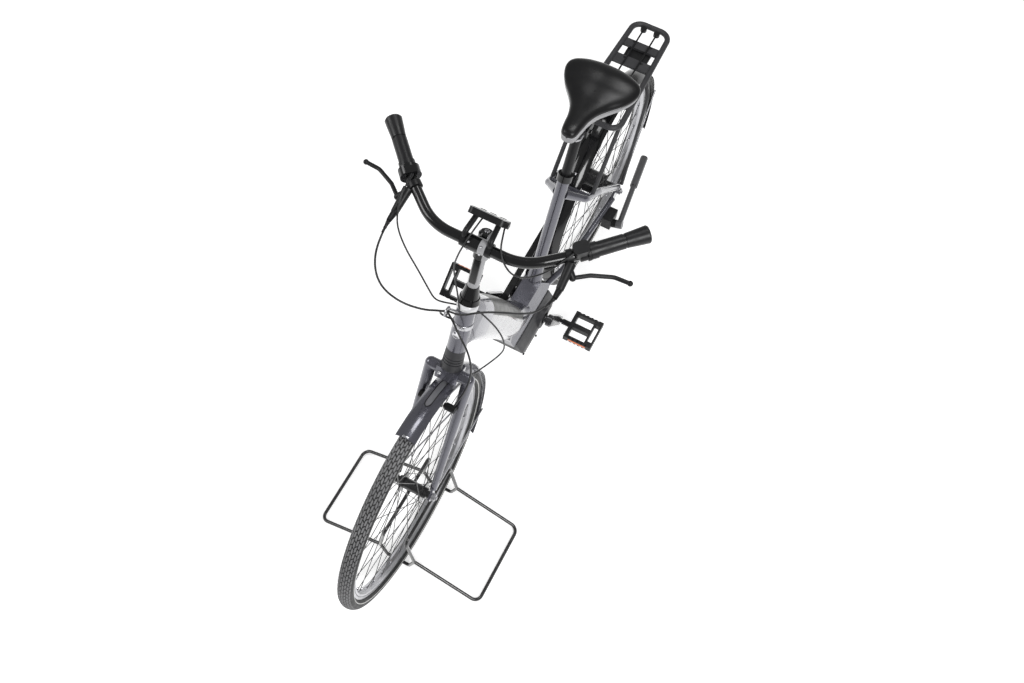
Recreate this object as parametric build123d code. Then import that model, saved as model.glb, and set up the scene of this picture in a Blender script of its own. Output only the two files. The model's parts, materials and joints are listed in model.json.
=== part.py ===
from build123d import *
import math
import os

# ------------------------------------------------------------------ driving sizes (mm)
# Bicycle frame: +X forward, +Y the rider's left, +Z up, bottom bracket at x = 0, floor at z = 0.
# Positions given as (forward, left, up) are taken from the place that their name ends with.

# Geometry of the bicycle
bb_height = 291.0
chain_stay_length = 481.5
front_centre = 652.0
head_angle = 66.0
fork_offset = 52.0
seat_angle = 67.4

# Wheels
wheel_radius = 350.0
tyre_width = 42.0
rim_depth = 20.0
tyre_depth = 32.0
rim_width = 24.0
spoke_radius = 1.0
spoke_count = 36
front_hub_width = 100.0
rear_hub_width = 134.0
hub_flange_radius = 27.0
rear_flange_radius = 40.0
front_flange_y = 30.0
rear_flange_y = 32.0
hub_barrel_radius = 15.0
rear_barrel_radius = 30.0
hub_flange_half = 2.0
spoke_seat = 1.2
axle_radius = 5.0
running_gap = 0.4
moving_gap = 5.0

# Frame tubes
head_tube_radius = 24.0
head_tube_bottom = 463.0
head_tube_top = 608.0
main_tube_width = 84.0
cover_share_top = 0.17
cover_share_foot = 0.85
cover_offset = 24.0
seat_tube_radius = 17.0
seat_tube_length = 474.0
stay_radius = 9.0
seat_stay_radius = 10.0
dropout_thickness = 6.0

# Motor
motor_length_front = 150.0
motor_length_rear = 72.0
motor_rise = 54.0
motor_drop = 65.0
motor_half_width = 40.0
cover_half_width = 60.0
casting_height = 62.0
bb_shell_radius = 34.0

# Seat
seatpost_radius = 13.6
saddle_length = 262.0
saddle_width = 208.0
saddle_nose_from_clamp = 34.2
saddle_rise = 219.4
saddle_depth = 58.0
saddle_rail_radius = 3.5
saddle_rail_y = 22.0

# Drive
crank_length = 170.0
crank_angle = -123.0
crank_arm_thickness = 13.0
spindle_radius = 12.0
crank_inner_face = 74.0
pedal_centre_y = 163.0
pedal_length = 100.0
pedal_width = 92.0
pedal_height = 20.0
pedal_tooth_pitch = 14.0
left_pedal_tilt = 0.0
right_pedal_tilt = 38.0
chain_line = 50.0
chainring_radius = 78.0
sprocket_radius = 40.0
chain_width = 6.0
chain_depth = 6.0
guard_outer_y = 60.0
guard_inner_y = 41.0
guard_skin = 2.5

# Fenders
fender_gap = 10.0
fender_thickness = 2.0
front_fender_width = 54.0
rear_fender_width = 56.0
front_fender_angles = (88.0, 216.0)
rear_fender_angles = (-8.0, 196.0)
fender_window_angles = (103.0, 121.0)
fender_window_half = 9.0
fender_window_depth = 1.0
fender_wire_radius = 2.5
front_wire_angle = 200.0
rear_wire_angle = 165.0
bridge_angle = 47.0

# Fork and steering column
crown_bottom = 366.0
boot_bottom = 401.0
boot_radius = 27.0
steerer_radius = 14.0
blade_top_radius = 15.5
blade_tip_radius = 9.0
blade_spread = 52.0
fork_plate = 6.0
bar_reach = 47.0
bar_height = 796.0
clip_on_steering = (30.0, -35.0, 575.0)
clip_ring_radius = 12.0
clip_wire_radius = 2.2

# Rim brakes
brake_radius_from_rim = 10.0
brake_barrel_radius = 10.0
brake_inner_y = 24.0
brake_outer_y = 50.0
brake_pad_y = 18.5
rear_brake_angle = 49.0

# Handlebar, measured from the middle of the bar
bar_radius = 12.7
bar_corner = (0.0, 112.0, 0.0)
bar_sweep = (-75.0, 205.0, 13.0)
grip_end_from_bar = (-187.0, 316.0, 26.0)
grip_length = 132.0
grip_end_radius = 20.5
grip_radius = 16.6
shifter_radius = 25.0
shifter_length = 21.0
lever_clamp_y = 190.0
lever_body_from_bar = (30.0, 203.0, -15.0)
lever_route_from_bar = ((-30.0, 216.0, -9.0), (-56.0, 246.0, -12.0), (-80.0, 292.0, -17.0), (-83.0, 329.0, -18.0))
lever_radius = 5.0

# Display, measured from the middle of the bar
display_width = 88.0
display_length = 60.0
display_thickness = 15.0
display_tilt = 55.0
display_edge_from_bar = (-34.0, 2.0, 65.0)
display_arm_y = 31.0
display_arm_radius = 6.5

# Rack
rack_rise = 52.0
rack_rear_from_axle = -264.1
rack_front_from_axle = 120.0
rack_half_width = 62.0
rack_front_half_width = 75.0
rack_tube_radius = 8.0
rack_wire_radius = 2.5

# Front wheel stand
stand_rod = 5.0
stand_front_from_axle = 110.7
stand_rear_from_axle = -135.3
stand_half_width = 258.0
stand_knee_y = 55.0
stand_knee_z = 78.0
stand_hoop_y = 33.0
stand_hoop_z = 215.0
stand_cradle_y = 36.0

# Kickstand, measured from the rear axle
kickstand_from_axle = (85.9, 122.0, -38.0)
kickstand_reach = (-272.0, -37.0, -4.0)
kickstand_radius = 8.4
kickstand_sleeve_radius = 12.0
kickstand_down = (0.17, 0.22, -0.96)

# Hoses and cables
hose_radius = 2.5
cable_radius = 2.0

# ------------------------------------------------------------------ worked-out places

axle_drop = wheel_radius - bb_height
rear_axle_x = -math.sqrt(chain_stay_length**2 - axle_drop**2)
front_axle_x = math.sqrt(front_centre**2 - axle_drop**2)
head_rad = math.radians(head_angle)
seat_rad = math.radians(seat_angle)
steer_up = Vector(-math.cos(head_rad), 0, math.sin(head_rad))
steer_forward = Vector(math.sin(head_rad), 0, math.cos(head_rad))
front_axle = Vector(front_axle_x, 0, wheel_radius)
rear_axle = Vector(rear_axle_x, 0, wheel_radius)
steer_foot = front_axle - steer_forward * fork_offset
bottom_bracket = Vector(0, 0, bb_height)
seat_up = Vector(-math.cos(seat_rad), 0, math.sin(seat_rad))
seat_clamp = bottom_bracket + seat_up * seat_tube_length
bar_middle = steer_foot + steer_forward * bar_reach + steer_up * bar_height
tyre_half = tyre_width / 2
rim_outer_radius = wheel_radius - tyre_depth
rim_inner_radius = rim_outer_radius - rim_depth
brake_radius = rim_outer_radius - brake_radius_from_rim

motor_top = bb_height + motor_rise
motor_bottom = bb_height - motor_drop
casting_top = motor_top + casting_height
guard_top = bb_height + chainring_radius + 4 * running_gap + 2 * chain_depth

saddle_top = seat_clamp.Z + saddle_rise
saddle_nose_x = seat_clamp.X + saddle_nose_from_clamp

fender_radius = wheel_radius + fender_gap
fender_outer = fender_radius + fender_thickness
rack_height = wheel_radius + fender_radius + rack_rise
rack_rear_x = rear_axle_x + rack_rear_from_axle
rack_front_x = rear_axle_x + rack_front_from_axle
stay_outer_y = rear_hub_width / 2 + dropout_thickness

kickstand_pivot = rear_axle + Vector(kickstand_from_axle)
kickstand_tip = kickstand_pivot + Vector(kickstand_reach)
stand_back = (kickstand_tip - kickstand_pivot).normalized()
stand_axis = stand_back.cross(Vector(kickstand_down)).normalized()
stand_front_x = front_axle_x + stand_front_from_axle
stand_rear_x = front_axle_x + stand_rear_from_axle

tail_x = rear_axle_x - fender_outer
nose_x = front_axle_x + wheel_radius
centre_x = (nose_x + tail_x) / 2

steer_plane = Plane(origin=steer_foot, x_dir=steer_forward, z_dir=steer_up)

# The main tube runs from the head tube down to the casting; its sections bow down and forward.
tube_head = steer_foot - steer_forward * 4 + steer_up * (head_tube_bottom + head_tube_top) / 2
tube_foot = bottom_bracket + Vector(50, 0, 88)
tube_run = (tube_foot - tube_head).normalized()
tube_under = Vector(-tube_run.Z, 0, tube_run.X)
tube_stations = (
    (0.000, 0.0, 34.0, 0.55, 130.0),
    (0.170, -7.9, 54.0, 0.90, 116.0),
    (0.416, 4.3, 61.0, 1.00, 112.0),
    (0.697, 25.4, 60.0, 1.00, 104.0),
    (0.850, 34.6, 50.0, 0.98, 96.0),
    (1.000, 0.0, 12.0, 0.92, 52.0),
)

LOW = (Align.CENTER, Align.CENTER, Align.MIN)


# ------------------------------------------------------------------ helpers

def on_steering(forward, left, up):
    """Point given along the steering frame, in the bicycle's frame."""
    return steer_foot + steer_forward * forward + Vector(0, left, 0) + steer_up * up


def on_seat(along, behind=0.0, left=0.0):
    """Point at a distance up the seat tube's axis, in the bicycle's frame."""
    back = Vector(-math.sin(seat_rad), 0, -math.cos(seat_rad))
    return bottom_bracket + seat_up * along + back * behind + Vector(0, left, 0)


def on_tube(share, bow):
    """Point at a share of the main tube's run, moved down and forward by the bow."""
    return tube_head + (tube_foot - tube_head) * share + tube_under * bow


def from_bar(offset, side=1):
    """Point measured from the middle of the handlebar, on the left or the right side."""
    x, y, z = offset
    return bar_middle + Vector(x, side * y, z)


def along_bar(distance):
    """Point on the left half of the bar, at a distance in from the end of the grip."""
    end, sweep, corner = (from_bar(place) for place in (grip_end_from_bar, bar_sweep, bar_corner))
    first = (sweep - end).length
    if distance <= first:
        return end + (sweep - end) * (distance / first)
    return sweep + (corner - sweep).normalized() * (distance - first)


def about_wheel(centre, radius, angle, y):
    """Point at a radius and an angle round a wheel's axle."""
    turn = math.radians(angle)
    return Vector(centre.X + radius * math.cos(turn), y, centre.Z + radius * math.sin(turn))


def rod(start, end, radius, end_radius=None):
    """Round bar, or a taper, between two points."""
    start = Vector(start)
    axis = Vector(end) - start
    base = Plane(origin=start, z_dir=axis)
    if end_radius is None:
        return base * Cylinder(radius, axis.length, align=LOW)
    return base * Cone(radius, end_radius, axis.length, align=LOW)


def ball(place, radius):
    return Pos(place.X, place.Y, place.Z) * Sphere(radius)


def bent_rod(points, bend, radius):
    """Round bar along straight runs joined by tangent arcs."""
    path = FilletPolyline(*points, radius=bend)
    start = Plane(origin=path @ 0, z_dir=path % 0)
    return sweep(start * Circle(radius), path=path)


def cord(points, radius):
    """Cord along straight runs; each arc's radius follows from the shorter run and the turn."""
    places = [Vector(p) for p in points]
    radii = []
    for a, b, c in zip(places, places[1:], places[2:]):
        into, out = b - a, c - b
        turn = math.radians(into.get_angle(out))
        radii.append(0.45 * min(into.length, out.length) / math.tan(turn / 2))
    print("cord radii", [round(r, 1) for r in radii])
    return bent_rod(places, radii, radius)


def mirrored(shape):
    """The same piece on the other side of the bicycle."""
    return mirror(shape, about=Plane.XZ)


def both_sides(shape):
    """A piece and its mirror image, as two solids."""
    return Compound(children=[shape, mirrored(shape)])


def group(*shapes):
    """Separate solids kept in one node."""
    solids = []
    for shape in shapes:
        solids.extend(shape.solids())
    return Compound(children=solids)


def disc_about_y(centre, radius, y_from, y_to):
    """Round boss whose axis runs across the bicycle."""
    base = Plane(origin=(centre.X, y_from, centre.Z), z_dir=(0, 1, 0))
    return base * Cylinder(radius, y_to - y_from, align=LOW)


def oval(width, depth, roundness=0.42):
    """Rounded section of a frame tube."""
    return RectangleRounded(width, depth, min(width, depth) * roundness)


def side_face(points, y):
    """Face from a side-view outline in x and z."""
    face = make_face(Polyline(*[(x, z) for x, z in points], close=True))
    return Plane(origin=(0, y, 0), x_dir=(1, 0, 0), z_dir=(0, -1, 0)) * face


def side_prism(points, y_from, y_to):
    """Side-view outline in x and z, as thick as from one y to the other."""
    return extrude(side_face(points, y_from), amount=-(y_to - y_from))


def long_prism(points, x_from, x_to):
    """Front-view outline in y and z, as long as from one x to the other."""
    face = make_face(Polyline(*points, close=True))
    plane = Plane(origin=(x_from, 0, 0), x_dir=(0, 1, 0), z_dir=(1, 0, 0))
    return extrude(plane * face, amount=x_to - x_from)


def wheel_plane(centre, angle, radius):
    """Plane across a wheel's rim: x across the bicycle, y away from the axle."""
    turn = math.radians(angle)
    out = Vector(math.cos(turn), 0, math.sin(turn))
    along = Vector(-math.sin(turn), 0, math.cos(turn))
    return Plane(origin=centre + out * radius, x_dir=(0, 1, 0), z_dir=along)


def swept_about(centre, section, angles):
    """Section turned about a wheel's axle from one angle to the other."""
    turn = Axis(origin=centre, direction=(0, -1, 0))
    plane = wheel_plane(centre, angles[0], fender_radius)
    if plane.y_dir.dot(plane.origin - centre) < 0:
        plane = Plane(origin=plane.origin, x_dir=(0, -1, 0), z_dir=plane.z_dir)
    return revolve(plane * section, axis=turn, revolution_arc=angles[1] - angles[0])


def fender_shell(centre, angles, width):
    """Fender of rounded section, swept about the wheel's axle."""
    half = width / 2
    crown = half * 0.32
    outer = ThreePointArc((-half, -crown), (0, fender_thickness), (half, -crown))
    inner = ThreePointArc((half - fender_thickness, -crown), (0, 0), (-half + fender_thickness, -crown))
    edge_a = Line(outer @ 1, inner @ 0)
    edge_b = Line(inner @ 1, outer @ 0)
    return swept_about(centre, make_face([outer, edge_a, inner, edge_b]), angles)


# ------------------------------------------------------------------ wheels

def tyre(centre):
    """Tyre body with flanks and a bead seat on the rim."""
    bead = rim_outer_radius + running_gap
    shoulder = wheel_radius - tyre_depth * 0.53
    with BuildSketch() as section:
        with BuildLine():
            a = Line((-rim_width / 2, bead), (rim_width / 2, bead))
            b = Line(a @ 1, (tyre_half, shoulder))
            c = ThreePointArc(b @ 1, (0, wheel_radius), (-tyre_half, shoulder))
            Line(c @ 1, a @ 0)
        make_face()
    plane = Plane(origin=centre, x_dir=(0, 1, 0), z_dir=(1, 0, 0))
    return revolve(plane * section.sketch, axis=Axis(origin=centre, direction=(0, 1, 0)))


def rim(centre):
    """Rim with a box section and brake tracks."""
    well = rim_inner_radius + 5
    with BuildSketch() as section:
        with BuildLine():
            Polyline(
                (-rim_width / 2, rim_outer_radius),
                (-rim_width / 2, well),
                (-5, rim_inner_radius),
                (5, rim_inner_radius),
                (rim_width / 2, well),
                (rim_width / 2, rim_outer_radius),
                close=True,
            )
        make_face()
    plane = Plane(origin=centre, x_dir=(0, 1, 0), z_dir=(1, 0, 0))
    return revolve(plane * section.sketch, axis=Axis(origin=centre, direction=(0, 1, 0)))


def hub_and_spokes(centre, width, flange_y, barrel, flange_radius):
    """Hub shell with two flanges, and crossed spokes out to the rim."""
    shell = disc_about_y(centre, hub_barrel_radius, -width / 2 + 8, width / 2 - 8)
    shell += disc_about_y(centre, barrel, -flange_y, flange_y)
    shell += disc_about_y(centre, 10.0, -width / 2 + running_gap, width / 2 - running_gap)
    for side in (-1, 1):
        middle = side * flange_y
        shell += disc_about_y(centre, flange_radius, middle - hub_flange_half, middle + hub_flange_half)
    shell -= disc_about_y(centre, axle_radius + running_gap, -width, width)
    lean = math.radians(62)
    spokes = []
    for number in range(spoke_count):
        side = 1 if number % 2 else -1
        sense = 1 if (number // 2) % 2 else -1
        rim_angle = 2 * math.pi * number / spoke_count
        hub_angle = rim_angle + sense * lean
        hub_r = flange_radius - 3
        start = Vector(hub_r * math.cos(hub_angle), side * (flange_y - sense * spoke_seat), hub_r * math.sin(hub_angle))
        end_r = rim_inner_radius - 0.3
        end = Vector(end_r * math.cos(rim_angle), side * 2.0, end_r * math.sin(rim_angle))
        spokes.append(rod(centre + start, centre + end, spoke_radius))
    return shell.fuse(*spokes)


def sprocket():
    """Rear sprocket beside the hub shell."""
    disc = disc_about_y(rear_axle, sprocket_radius, -chain_line - 2, -chain_line + 2)
    return disc - disc_about_y(rear_axle, hub_barrel_radius, -chain_line - 20, 0)


# ------------------------------------------------------------------ frame

def tube_section(station):
    """Rounded section of the main tube, square to its run."""
    share, bow, slope, width, depth = station
    angle = math.radians(slope)
    run = Vector(-math.cos(angle), 0, -math.sin(angle))
    plane = Plane(origin=on_tube(share, bow), x_dir=(0, 1, 0), z_dir=run)
    return plane * oval(main_tube_width * width, depth)


def main_tube():
    """Wide main tube, from inside the head tube to inside the casting."""
    return loft([tube_section(station) for station in tube_stations])


def cover_zone():
    """Room of the battery cover: the upper side of the main tube."""
    line = [on_tube(cover_share_top, -cover_offset - 8)]
    for share, bow in ((0.416, 4.3), (0.697, 25.4), (cover_share_foot, 34.6)):
        line.append(on_tube(share, bow - cover_offset))
    high = [on_tube(cover_share_foot - 0.02, -140), on_tube(cover_share_top - 0.03, -140)]
    return side_prism([(p.X, p.Z) for p in line + high], -100, 100)


def casting():
    """Casting that joins the main tube, the seat tube and the motor, with shoulders sloping in."""
    rear = -motor_length_rear
    front = motor_length_front
    outline = [
        (rear + 8, motor_top),
        (rear + 2, motor_top + 22),
        (rear + 34, casting_top),
        (front - 84, casting_top),
        (front - 36, casting_top + 8),
        (front + 14, motor_top + 48),
        (front + 8, motor_top + 8),
        (front, motor_top),
    ]
    half = motor_half_width + 2
    shoulder = [
        (-half, motor_top), (-half, motor_top + 10), (-half + 16, casting_top), (-half + 16, casting_top + 20),
        (half - 16, casting_top + 20), (half - 16, casting_top), (half, motor_top + 10), (half, motor_top),
    ]
    return side_prism(outline, -half, half) & long_prism(shoulder, rear - 10, front + 30)


def main_frame():
    """Head tube, wide low main tube and the casting that carries the motor."""
    head = rod(on_steering(0, 0, head_tube_bottom), on_steering(0, 0, head_tube_top), head_tube_radius)
    collar = rod(on_steering(0, 0, head_tube_top - 17), on_steering(0, 0, head_tube_top), head_tube_radius + 1.5)
    bore = rod(on_steering(0, 0, head_tube_bottom - 5), on_steering(0, 0, head_tube_top + 5), steerer_radius + 3)
    boot_room = rod(on_steering(0, 0, boot_bottom), on_steering(0, 0, head_tube_bottom), boot_radius + moving_gap)
    return head + collar + (main_tube() - cover_zone()) + casting() - bore - boot_room


def battery_cover():
    """Removable cover over the battery, along the upper side of the main tube."""
    return main_tube() & cover_zone()


def seat_tube():
    """Seat tube with its flared foot, from the motor casting up to the clamp."""
    tube = rod(on_seat(92), seat_clamp, seat_tube_radius) + rod(on_seat(92), on_seat(172), 26, seat_tube_radius)
    return tube - rod(on_seat(seat_tube_length - 170), on_seat(seat_tube_length + 5), seatpost_radius)


def dropout(y_middle):
    """Rear dropout plate round the axle."""
    x, z = rear_axle_x, wheel_radius
    outline = [(x - 20, z - 14), (x - 18, z + 22), (x + 14, z + 40), (x + 48, z + 8), (x + 44, z - 24)]
    plate = side_prism(outline, y_middle - dropout_thickness / 2, y_middle + dropout_thickness / 2)
    return plate - disc_about_y(rear_axle, axle_radius, 0, 2 * y_middle)


def seat_stay():
    """Left seat stay, from the seat tube out round the wheel and down."""
    drop_y = rear_hub_width / 2 + dropout_thickness / 2
    top = on_seat(seat_tube_length - 60, 8, 10)
    foot = Vector(rear_axle_x + 6, drop_y, wheel_radius + 24)
    bend = rear_axle + Vector(265.9, 58, 274)
    second = rear_axle + Vector(177.9, 64, 206)
    arm = rod(top, top + (bend - top) * 0.8, seat_stay_radius + 4, seat_stay_radius)
    stay = bent_rod([top, bend, second, foot], [30, 50], seat_stay_radius) + arm
    other_side = Pos(0, -50, wheel_radius) * Box(2000, 100, 2000)
    return stay - rod(on_seat(0), seat_clamp, seat_tube_radius) - other_side


def chain_stay():
    """Left chain stay, from the motor casting back to the dropout."""
    drop_y = rear_hub_width / 2 + dropout_thickness / 2
    foot = Vector(rear_axle_x + 34, drop_y, wheel_radius - 2)
    route = [(-60, 30, motor_top + 14), (-150, 46, motor_top - 9), (foot.X + 144, 58, wheel_radius - 16), foot]
    return bent_rod(route, 60, stay_radius) + dropout(drop_y)


def stay_bridge():
    """Bridge between the seat stays that carries the rear fender."""
    middle = about_wheel(rear_axle, fender_outer + running_gap + 7, bridge_angle, 0)
    return rod((middle.X, -60, middle.Z), (middle.X, 60, middle.Z), 7.0)


def motor_outline(grow):
    """Side-view outline of the motor, grown outward at its ends and its bottom."""
    rear, front = -motor_length_rear - grow, motor_length_front
    return [
        (rear + 6 + 2 * grow, motor_top - 1), (front - 7, motor_top - 1), (front - 16, bb_height - 2),
        (front - 52, bb_height - 52), (20, motor_bottom - grow), (-49, bb_height - 56), (rear, bb_height - 1),
    ]


def motor_unit():
    """Motor housing hung under the casting."""
    top = [(-motor_length_rear + 10, motor_top - 1), (-motor_length_rear + 10, motor_top),
           (motor_length_front - 7, motor_top), (motor_length_front - 7, motor_top - 1)]
    body = side_prism(motor_outline(0), -motor_half_width + 2, motor_half_width - 2)
    body += side_prism(top, -motor_half_width + 2, motor_half_width - 2)
    for x in (-30, 0, 30, 60):
        body -= Pos(x, 0, motor_bottom) * Box(6, 2 * motor_half_width - 16, 12)
    return body - disc_about_y(bottom_bracket, spindle_radius + running_gap, -100, 100)


def motor_cover(side):
    """Side cover; the left one stands out below its flush top edge, the right one clears the chainring."""
    inner = motor_half_width - 2
    low = motor_bottom - 10
    if side > 0:
        outer = cover_half_width
        section = [(inner, motor_top - 1), (inner + 6, motor_top - 1), (outer, bb_height - 5),
                   (outer, bb_height - 32), (inner + 8, low), (inner, low)]
        slab = side_prism(motor_outline(4), inner, outer) & long_prism(section, -200, 300)
        slab += disc_about_y(bottom_bracket, bb_shell_radius, inner, outer + 4)
    else:
        outer = chain_line - 2 - moving_gap
        slab = side_prism(motor_outline(2), inner, outer)
    slab -= disc_about_y(bottom_bracket, 18.0, 0, 120)
    return slab if side > 0 else mirrored(slab)


def chain():
    """Chain as a band round the chainring and the sprocket."""
    def band(extra):
        edges = Pos(0, bb_height) * Circle(chainring_radius + extra)
        edges += Pos(rear_axle_x, wheel_radius) * Circle(sprocket_radius + extra)
        return make_hull(edges.edges())
    face = band(running_gap + chain_depth) - band(running_gap)
    plane = Plane(origin=(0, -chain_line + chain_width / 2, 0), x_dir=(1, 0, 0), z_dir=(0, -1, 0))
    return extrude(plane * face, amount=chain_width)


def chain_guard():
    """Chain guard: outer plate with a top flange over the chain."""
    tail = rear_axle_x + 70
    top = [(62, bb_height + 75), (30, guard_top - 3), (0, guard_top), (tail, guard_top + 20)]
    under = [(tail, guard_top - 16), (-250, bb_height + 65), (-100, bb_height + 49), (-60, bb_height + 5),
             (-10, bb_height - 41), (60, bb_height - 35), (92, bb_height + 10)]
    plate = side_prism(top + under, -guard_outer_y, -guard_outer_y + guard_skin)
    plate -= disc_about_y(bottom_bracket, 24.0, -guard_outer_y - 20, 0)
    lower = [(x - 2, z - guard_skin) for x, z in reversed(top)]
    flange = side_prism(top + lower, -guard_outer_y, -guard_inner_y)
    front_tab = Pos(-20, -34, guard_top - 2) * Box(26, 16, 3)
    rear_tab = Pos(tail + 16, -62, guard_top - 24) * Box(24, 9, 34)
    return plate + flange + front_tab + rear_tab


def saddle_rails():
    """Two rails under the saddle."""
    y = saddle_rail_y
    z = saddle_top - saddle_depth
    x = saddle_nose_x
    route = [(x - 22, 12, z + 3), (x - 46, y - 2, z - 13), (x - 184, y, z - 13), (x - 226, y + 12, z + 3)]
    return both_sides(bent_rod(route, 20, saddle_rail_radius))


def seatpost():
    """Seatpost with its head and clamp."""
    rail_z = saddle_top - saddle_depth - running_gap
    along = (rail_z - 26 - bb_height) / math.sin(seat_rad)
    top = on_seat(along)
    post = rod(on_seat(seat_tube_length - 120), top, seatpost_radius)
    head = Pos(top.X, 0, rail_z - 13) * Box(46, 2 * saddle_rail_y + 14, 26)
    bolt = Pos(top.X, 0, rail_z - 22) * Rot(90, 0, 0) * Cylinder(5, 2 * saddle_rail_y + 22)
    return post + head + bolt


def seat_clamp_collar():
    """Clamp collar round the top of the seat tube."""
    low = seat_clamp - seat_up * 14
    collar = rod(low, seat_clamp + seat_up * 6, seat_tube_radius + 4)
    collar -= rod(low - seat_up, seat_clamp + seat_up * 20, seat_tube_radius)
    lip = rod(seat_clamp, seat_clamp + seat_up * 6, seat_tube_radius + 4)
    lip -= rod(seat_clamp - seat_up, seat_clamp + seat_up * 20, seatpost_radius)
    bolt_at = seat_tube_length - 6
    bolt = rod(on_seat(bolt_at, seat_tube_radius + 6, -14), on_seat(bolt_at, seat_tube_radius + 6, 14), 4)
    lug = Plane(origin=on_seat(seat_tube_length - 4, seat_tube_radius + 5), x_dir=seat_up) * Box(16, 14, 12)
    return collar + lip + lug + bolt


def saddle():
    """Wide padded saddle with a short nose."""
    nose = saddle_nose_x
    tail = saddle_nose_x - saddle_length
    half = saddle_width / 2
    with BuildSketch() as plan:
        with BuildLine():
            Spline(
                (nose, 0), (nose - 14, 21), (nose - 70, 29), (nose - 130, 58),
                (nose - 190, half - 4), (tail + 34, half - 6), (tail + 4, half * 0.42), (tail, 0),
                tangents=[(0, 1), (0, -1)],
            )
            Line((tail, 0), (nose, 0))
        make_face()
    upper = plan.sketch + mirror(plan.sketch, about=Plane.XZ)
    return extrude(Plane(origin=(0, 0, saddle_top - saddle_depth)) * upper, amount=saddle_depth)


def rack():
    """Closed tubular rack loop with its cross plates."""
    rear_y = rack_half_width - rack_tube_radius
    front_y = rack_front_half_width - rack_tube_radius
    z = rack_height
    route = [(rack_front_x, 0, z), (rack_front_x, front_y, z), (rack_rear_x, rear_y, z), (rack_rear_x, 0, z)]
    side = bent_rod(route, 30, rack_tube_radius)
    frame = side + mirrored(side)
    for ahead, length in ((81.0, 26.0), (147.0, 32.0), (290.0, 26.0)):
        share = ahead / (rack_front_x - rack_rear_x)
        half = rear_y + (front_y - rear_y) * share
        frame += Pos(rack_rear_x + ahead, 0, z - 2) * Box(length, 2 * half, 8)
    return frame


def rack_springs():
    """Two long wires over the rack's plates, each ending in a round knob."""
    z = rack_height + 2 + rack_wire_radius + 0.1
    pieces = []
    for y in (-20, 20):
        wire = rod((rack_rear_x + 26, y, z), (rack_rear_x + 274, y, z), rack_wire_radius)
        pieces.append(wire + Pos(rack_rear_x + 22, y, rack_height + 5) * Cylinder(9, 9))
    return pieces


def rack_struts():
    """Struts of the left side, from the rack down to the dropout and to the seat stay."""
    z = rack_height
    strut_y = stay_outer_y + 5
    x = rack_rear_x + 176
    rear = bent_rod([(x, 56, z), (x + 12, strut_y, z - 60), (rear_axle_x - 6, strut_y, wheel_radius + 30)], 30, 5.0)
    front = rod((rack_front_x - 40, 62, z), rear_axle + Vector(225.9, 62, 250), 6.0)
    return group(rear, front)


def fender_wire(centre, angle, start, half_width):
    """Wire stay from a dropout to the edge of a fender."""
    end = about_wheel(centre, fender_radius - half_width * 0.32 + 2, angle, half_width + fender_wire_radius + 0.2)
    return rod(start, end, fender_wire_radius)


# ------------------------------------------------------------------ rim brakes

def rim_brake(centre, angle, anchor):
    """Left half of a rim brake: barrel and pad beside the rim, and the arm to its tube."""
    place = about_wheel(centre, brake_radius, angle, 0)
    barrel = disc_about_y(place, brake_barrel_radius, brake_inner_y, brake_outer_y)
    pad = disc_about_y(place, 7.0, brake_pad_y, brake_inner_y)
    arm = rod((place.X, brake_outer_y - 9, place.Z), anchor, 7.0)
    return barrel + pad + arm


# ------------------------------------------------------------------ steering

def fork():
    """Rounded crown, steerer, two blades and their tips."""
    high = crown_bottom + 18
    shape = rod(on_steering(2, -blade_spread, high), on_steering(2, blade_spread, high), blade_top_radius)
    shape += steer_plane * (Pos(0, 0, (crown_bottom + boot_bottom) / 2) * Box(44, 60, boot_bottom - crown_bottom))
    shape += rod(on_steering(0, 0, crown_bottom), on_steering(0, 0, head_tube_top + 20), steerer_radius)
    for side in (-1, 1):
        top = on_steering(2, side * blade_spread, high)
        plate_y = side * (front_hub_width + fork_plate) / 2
        tip = on_steering(fork_offset - 4, plate_y, 26)
        shape += rod(top, tip, blade_top_radius, blade_tip_radius)
        shape += ball(top, blade_top_radius)
        shape += disc_about_y(front_axle, 15, plate_y - fork_plate / 2, plate_y + fork_plate / 2)
        shape += steer_plane * (Pos(fork_offset - 2, plate_y, 18) * Box(18, fork_plate, 34))
    shape += rod(on_steering(-6, 0, crown_bottom - 16), on_steering(-6, 0, crown_bottom + 2), 11.0)
    return shape - disc_about_y(front_axle, fender_outer + running_gap, -22, 22)


def axle_skewer(centre, hub_width, plate):
    """Wheel axle with a nut outside each dropout."""
    edge = hub_width / 2 + plate
    bar = disc_about_y(centre, axle_radius, -edge - 14, edge + 14)
    nut = disc_about_y(centre, 10.5, edge, edge + 10)
    return bar + nut + mirrored(nut)


def head_boot():
    """Rubber boot below the head tube, with three grooves round its middle."""
    low = on_steering(0, 0, boot_bottom)
    high = on_steering(0, 0, head_tube_bottom - 0.6)
    shape = rod(low, high, boot_radius, head_tube_radius)
    for up in (20, 28, 36):
        level = on_steering(0, 0, boot_bottom + up)
        shape -= rod(level, level + steer_up * 2.4, boot_radius + 4) - rod(level, level + steer_up * 2.4, head_tube_radius - 0.5)
    return shape - rod(low - steer_up, high + steer_up, steerer_radius)


def headset_cap():
    """Bearing cap and cone above the head tube."""
    low = on_steering(0, 0, head_tube_top + 0.6)
    ring = rod(low, on_steering(0, 0, head_tube_top + 14), head_tube_radius + 3, head_tube_radius)
    cone = rod(on_steering(0, 0, head_tube_top + 14), on_steering(0, 0, head_tube_top + 46), head_tube_radius - 2, 15.5)
    return ring + cone - rod(low - steer_up, on_steering(0, 0, head_tube_top + 90), steerer_radius)


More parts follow.
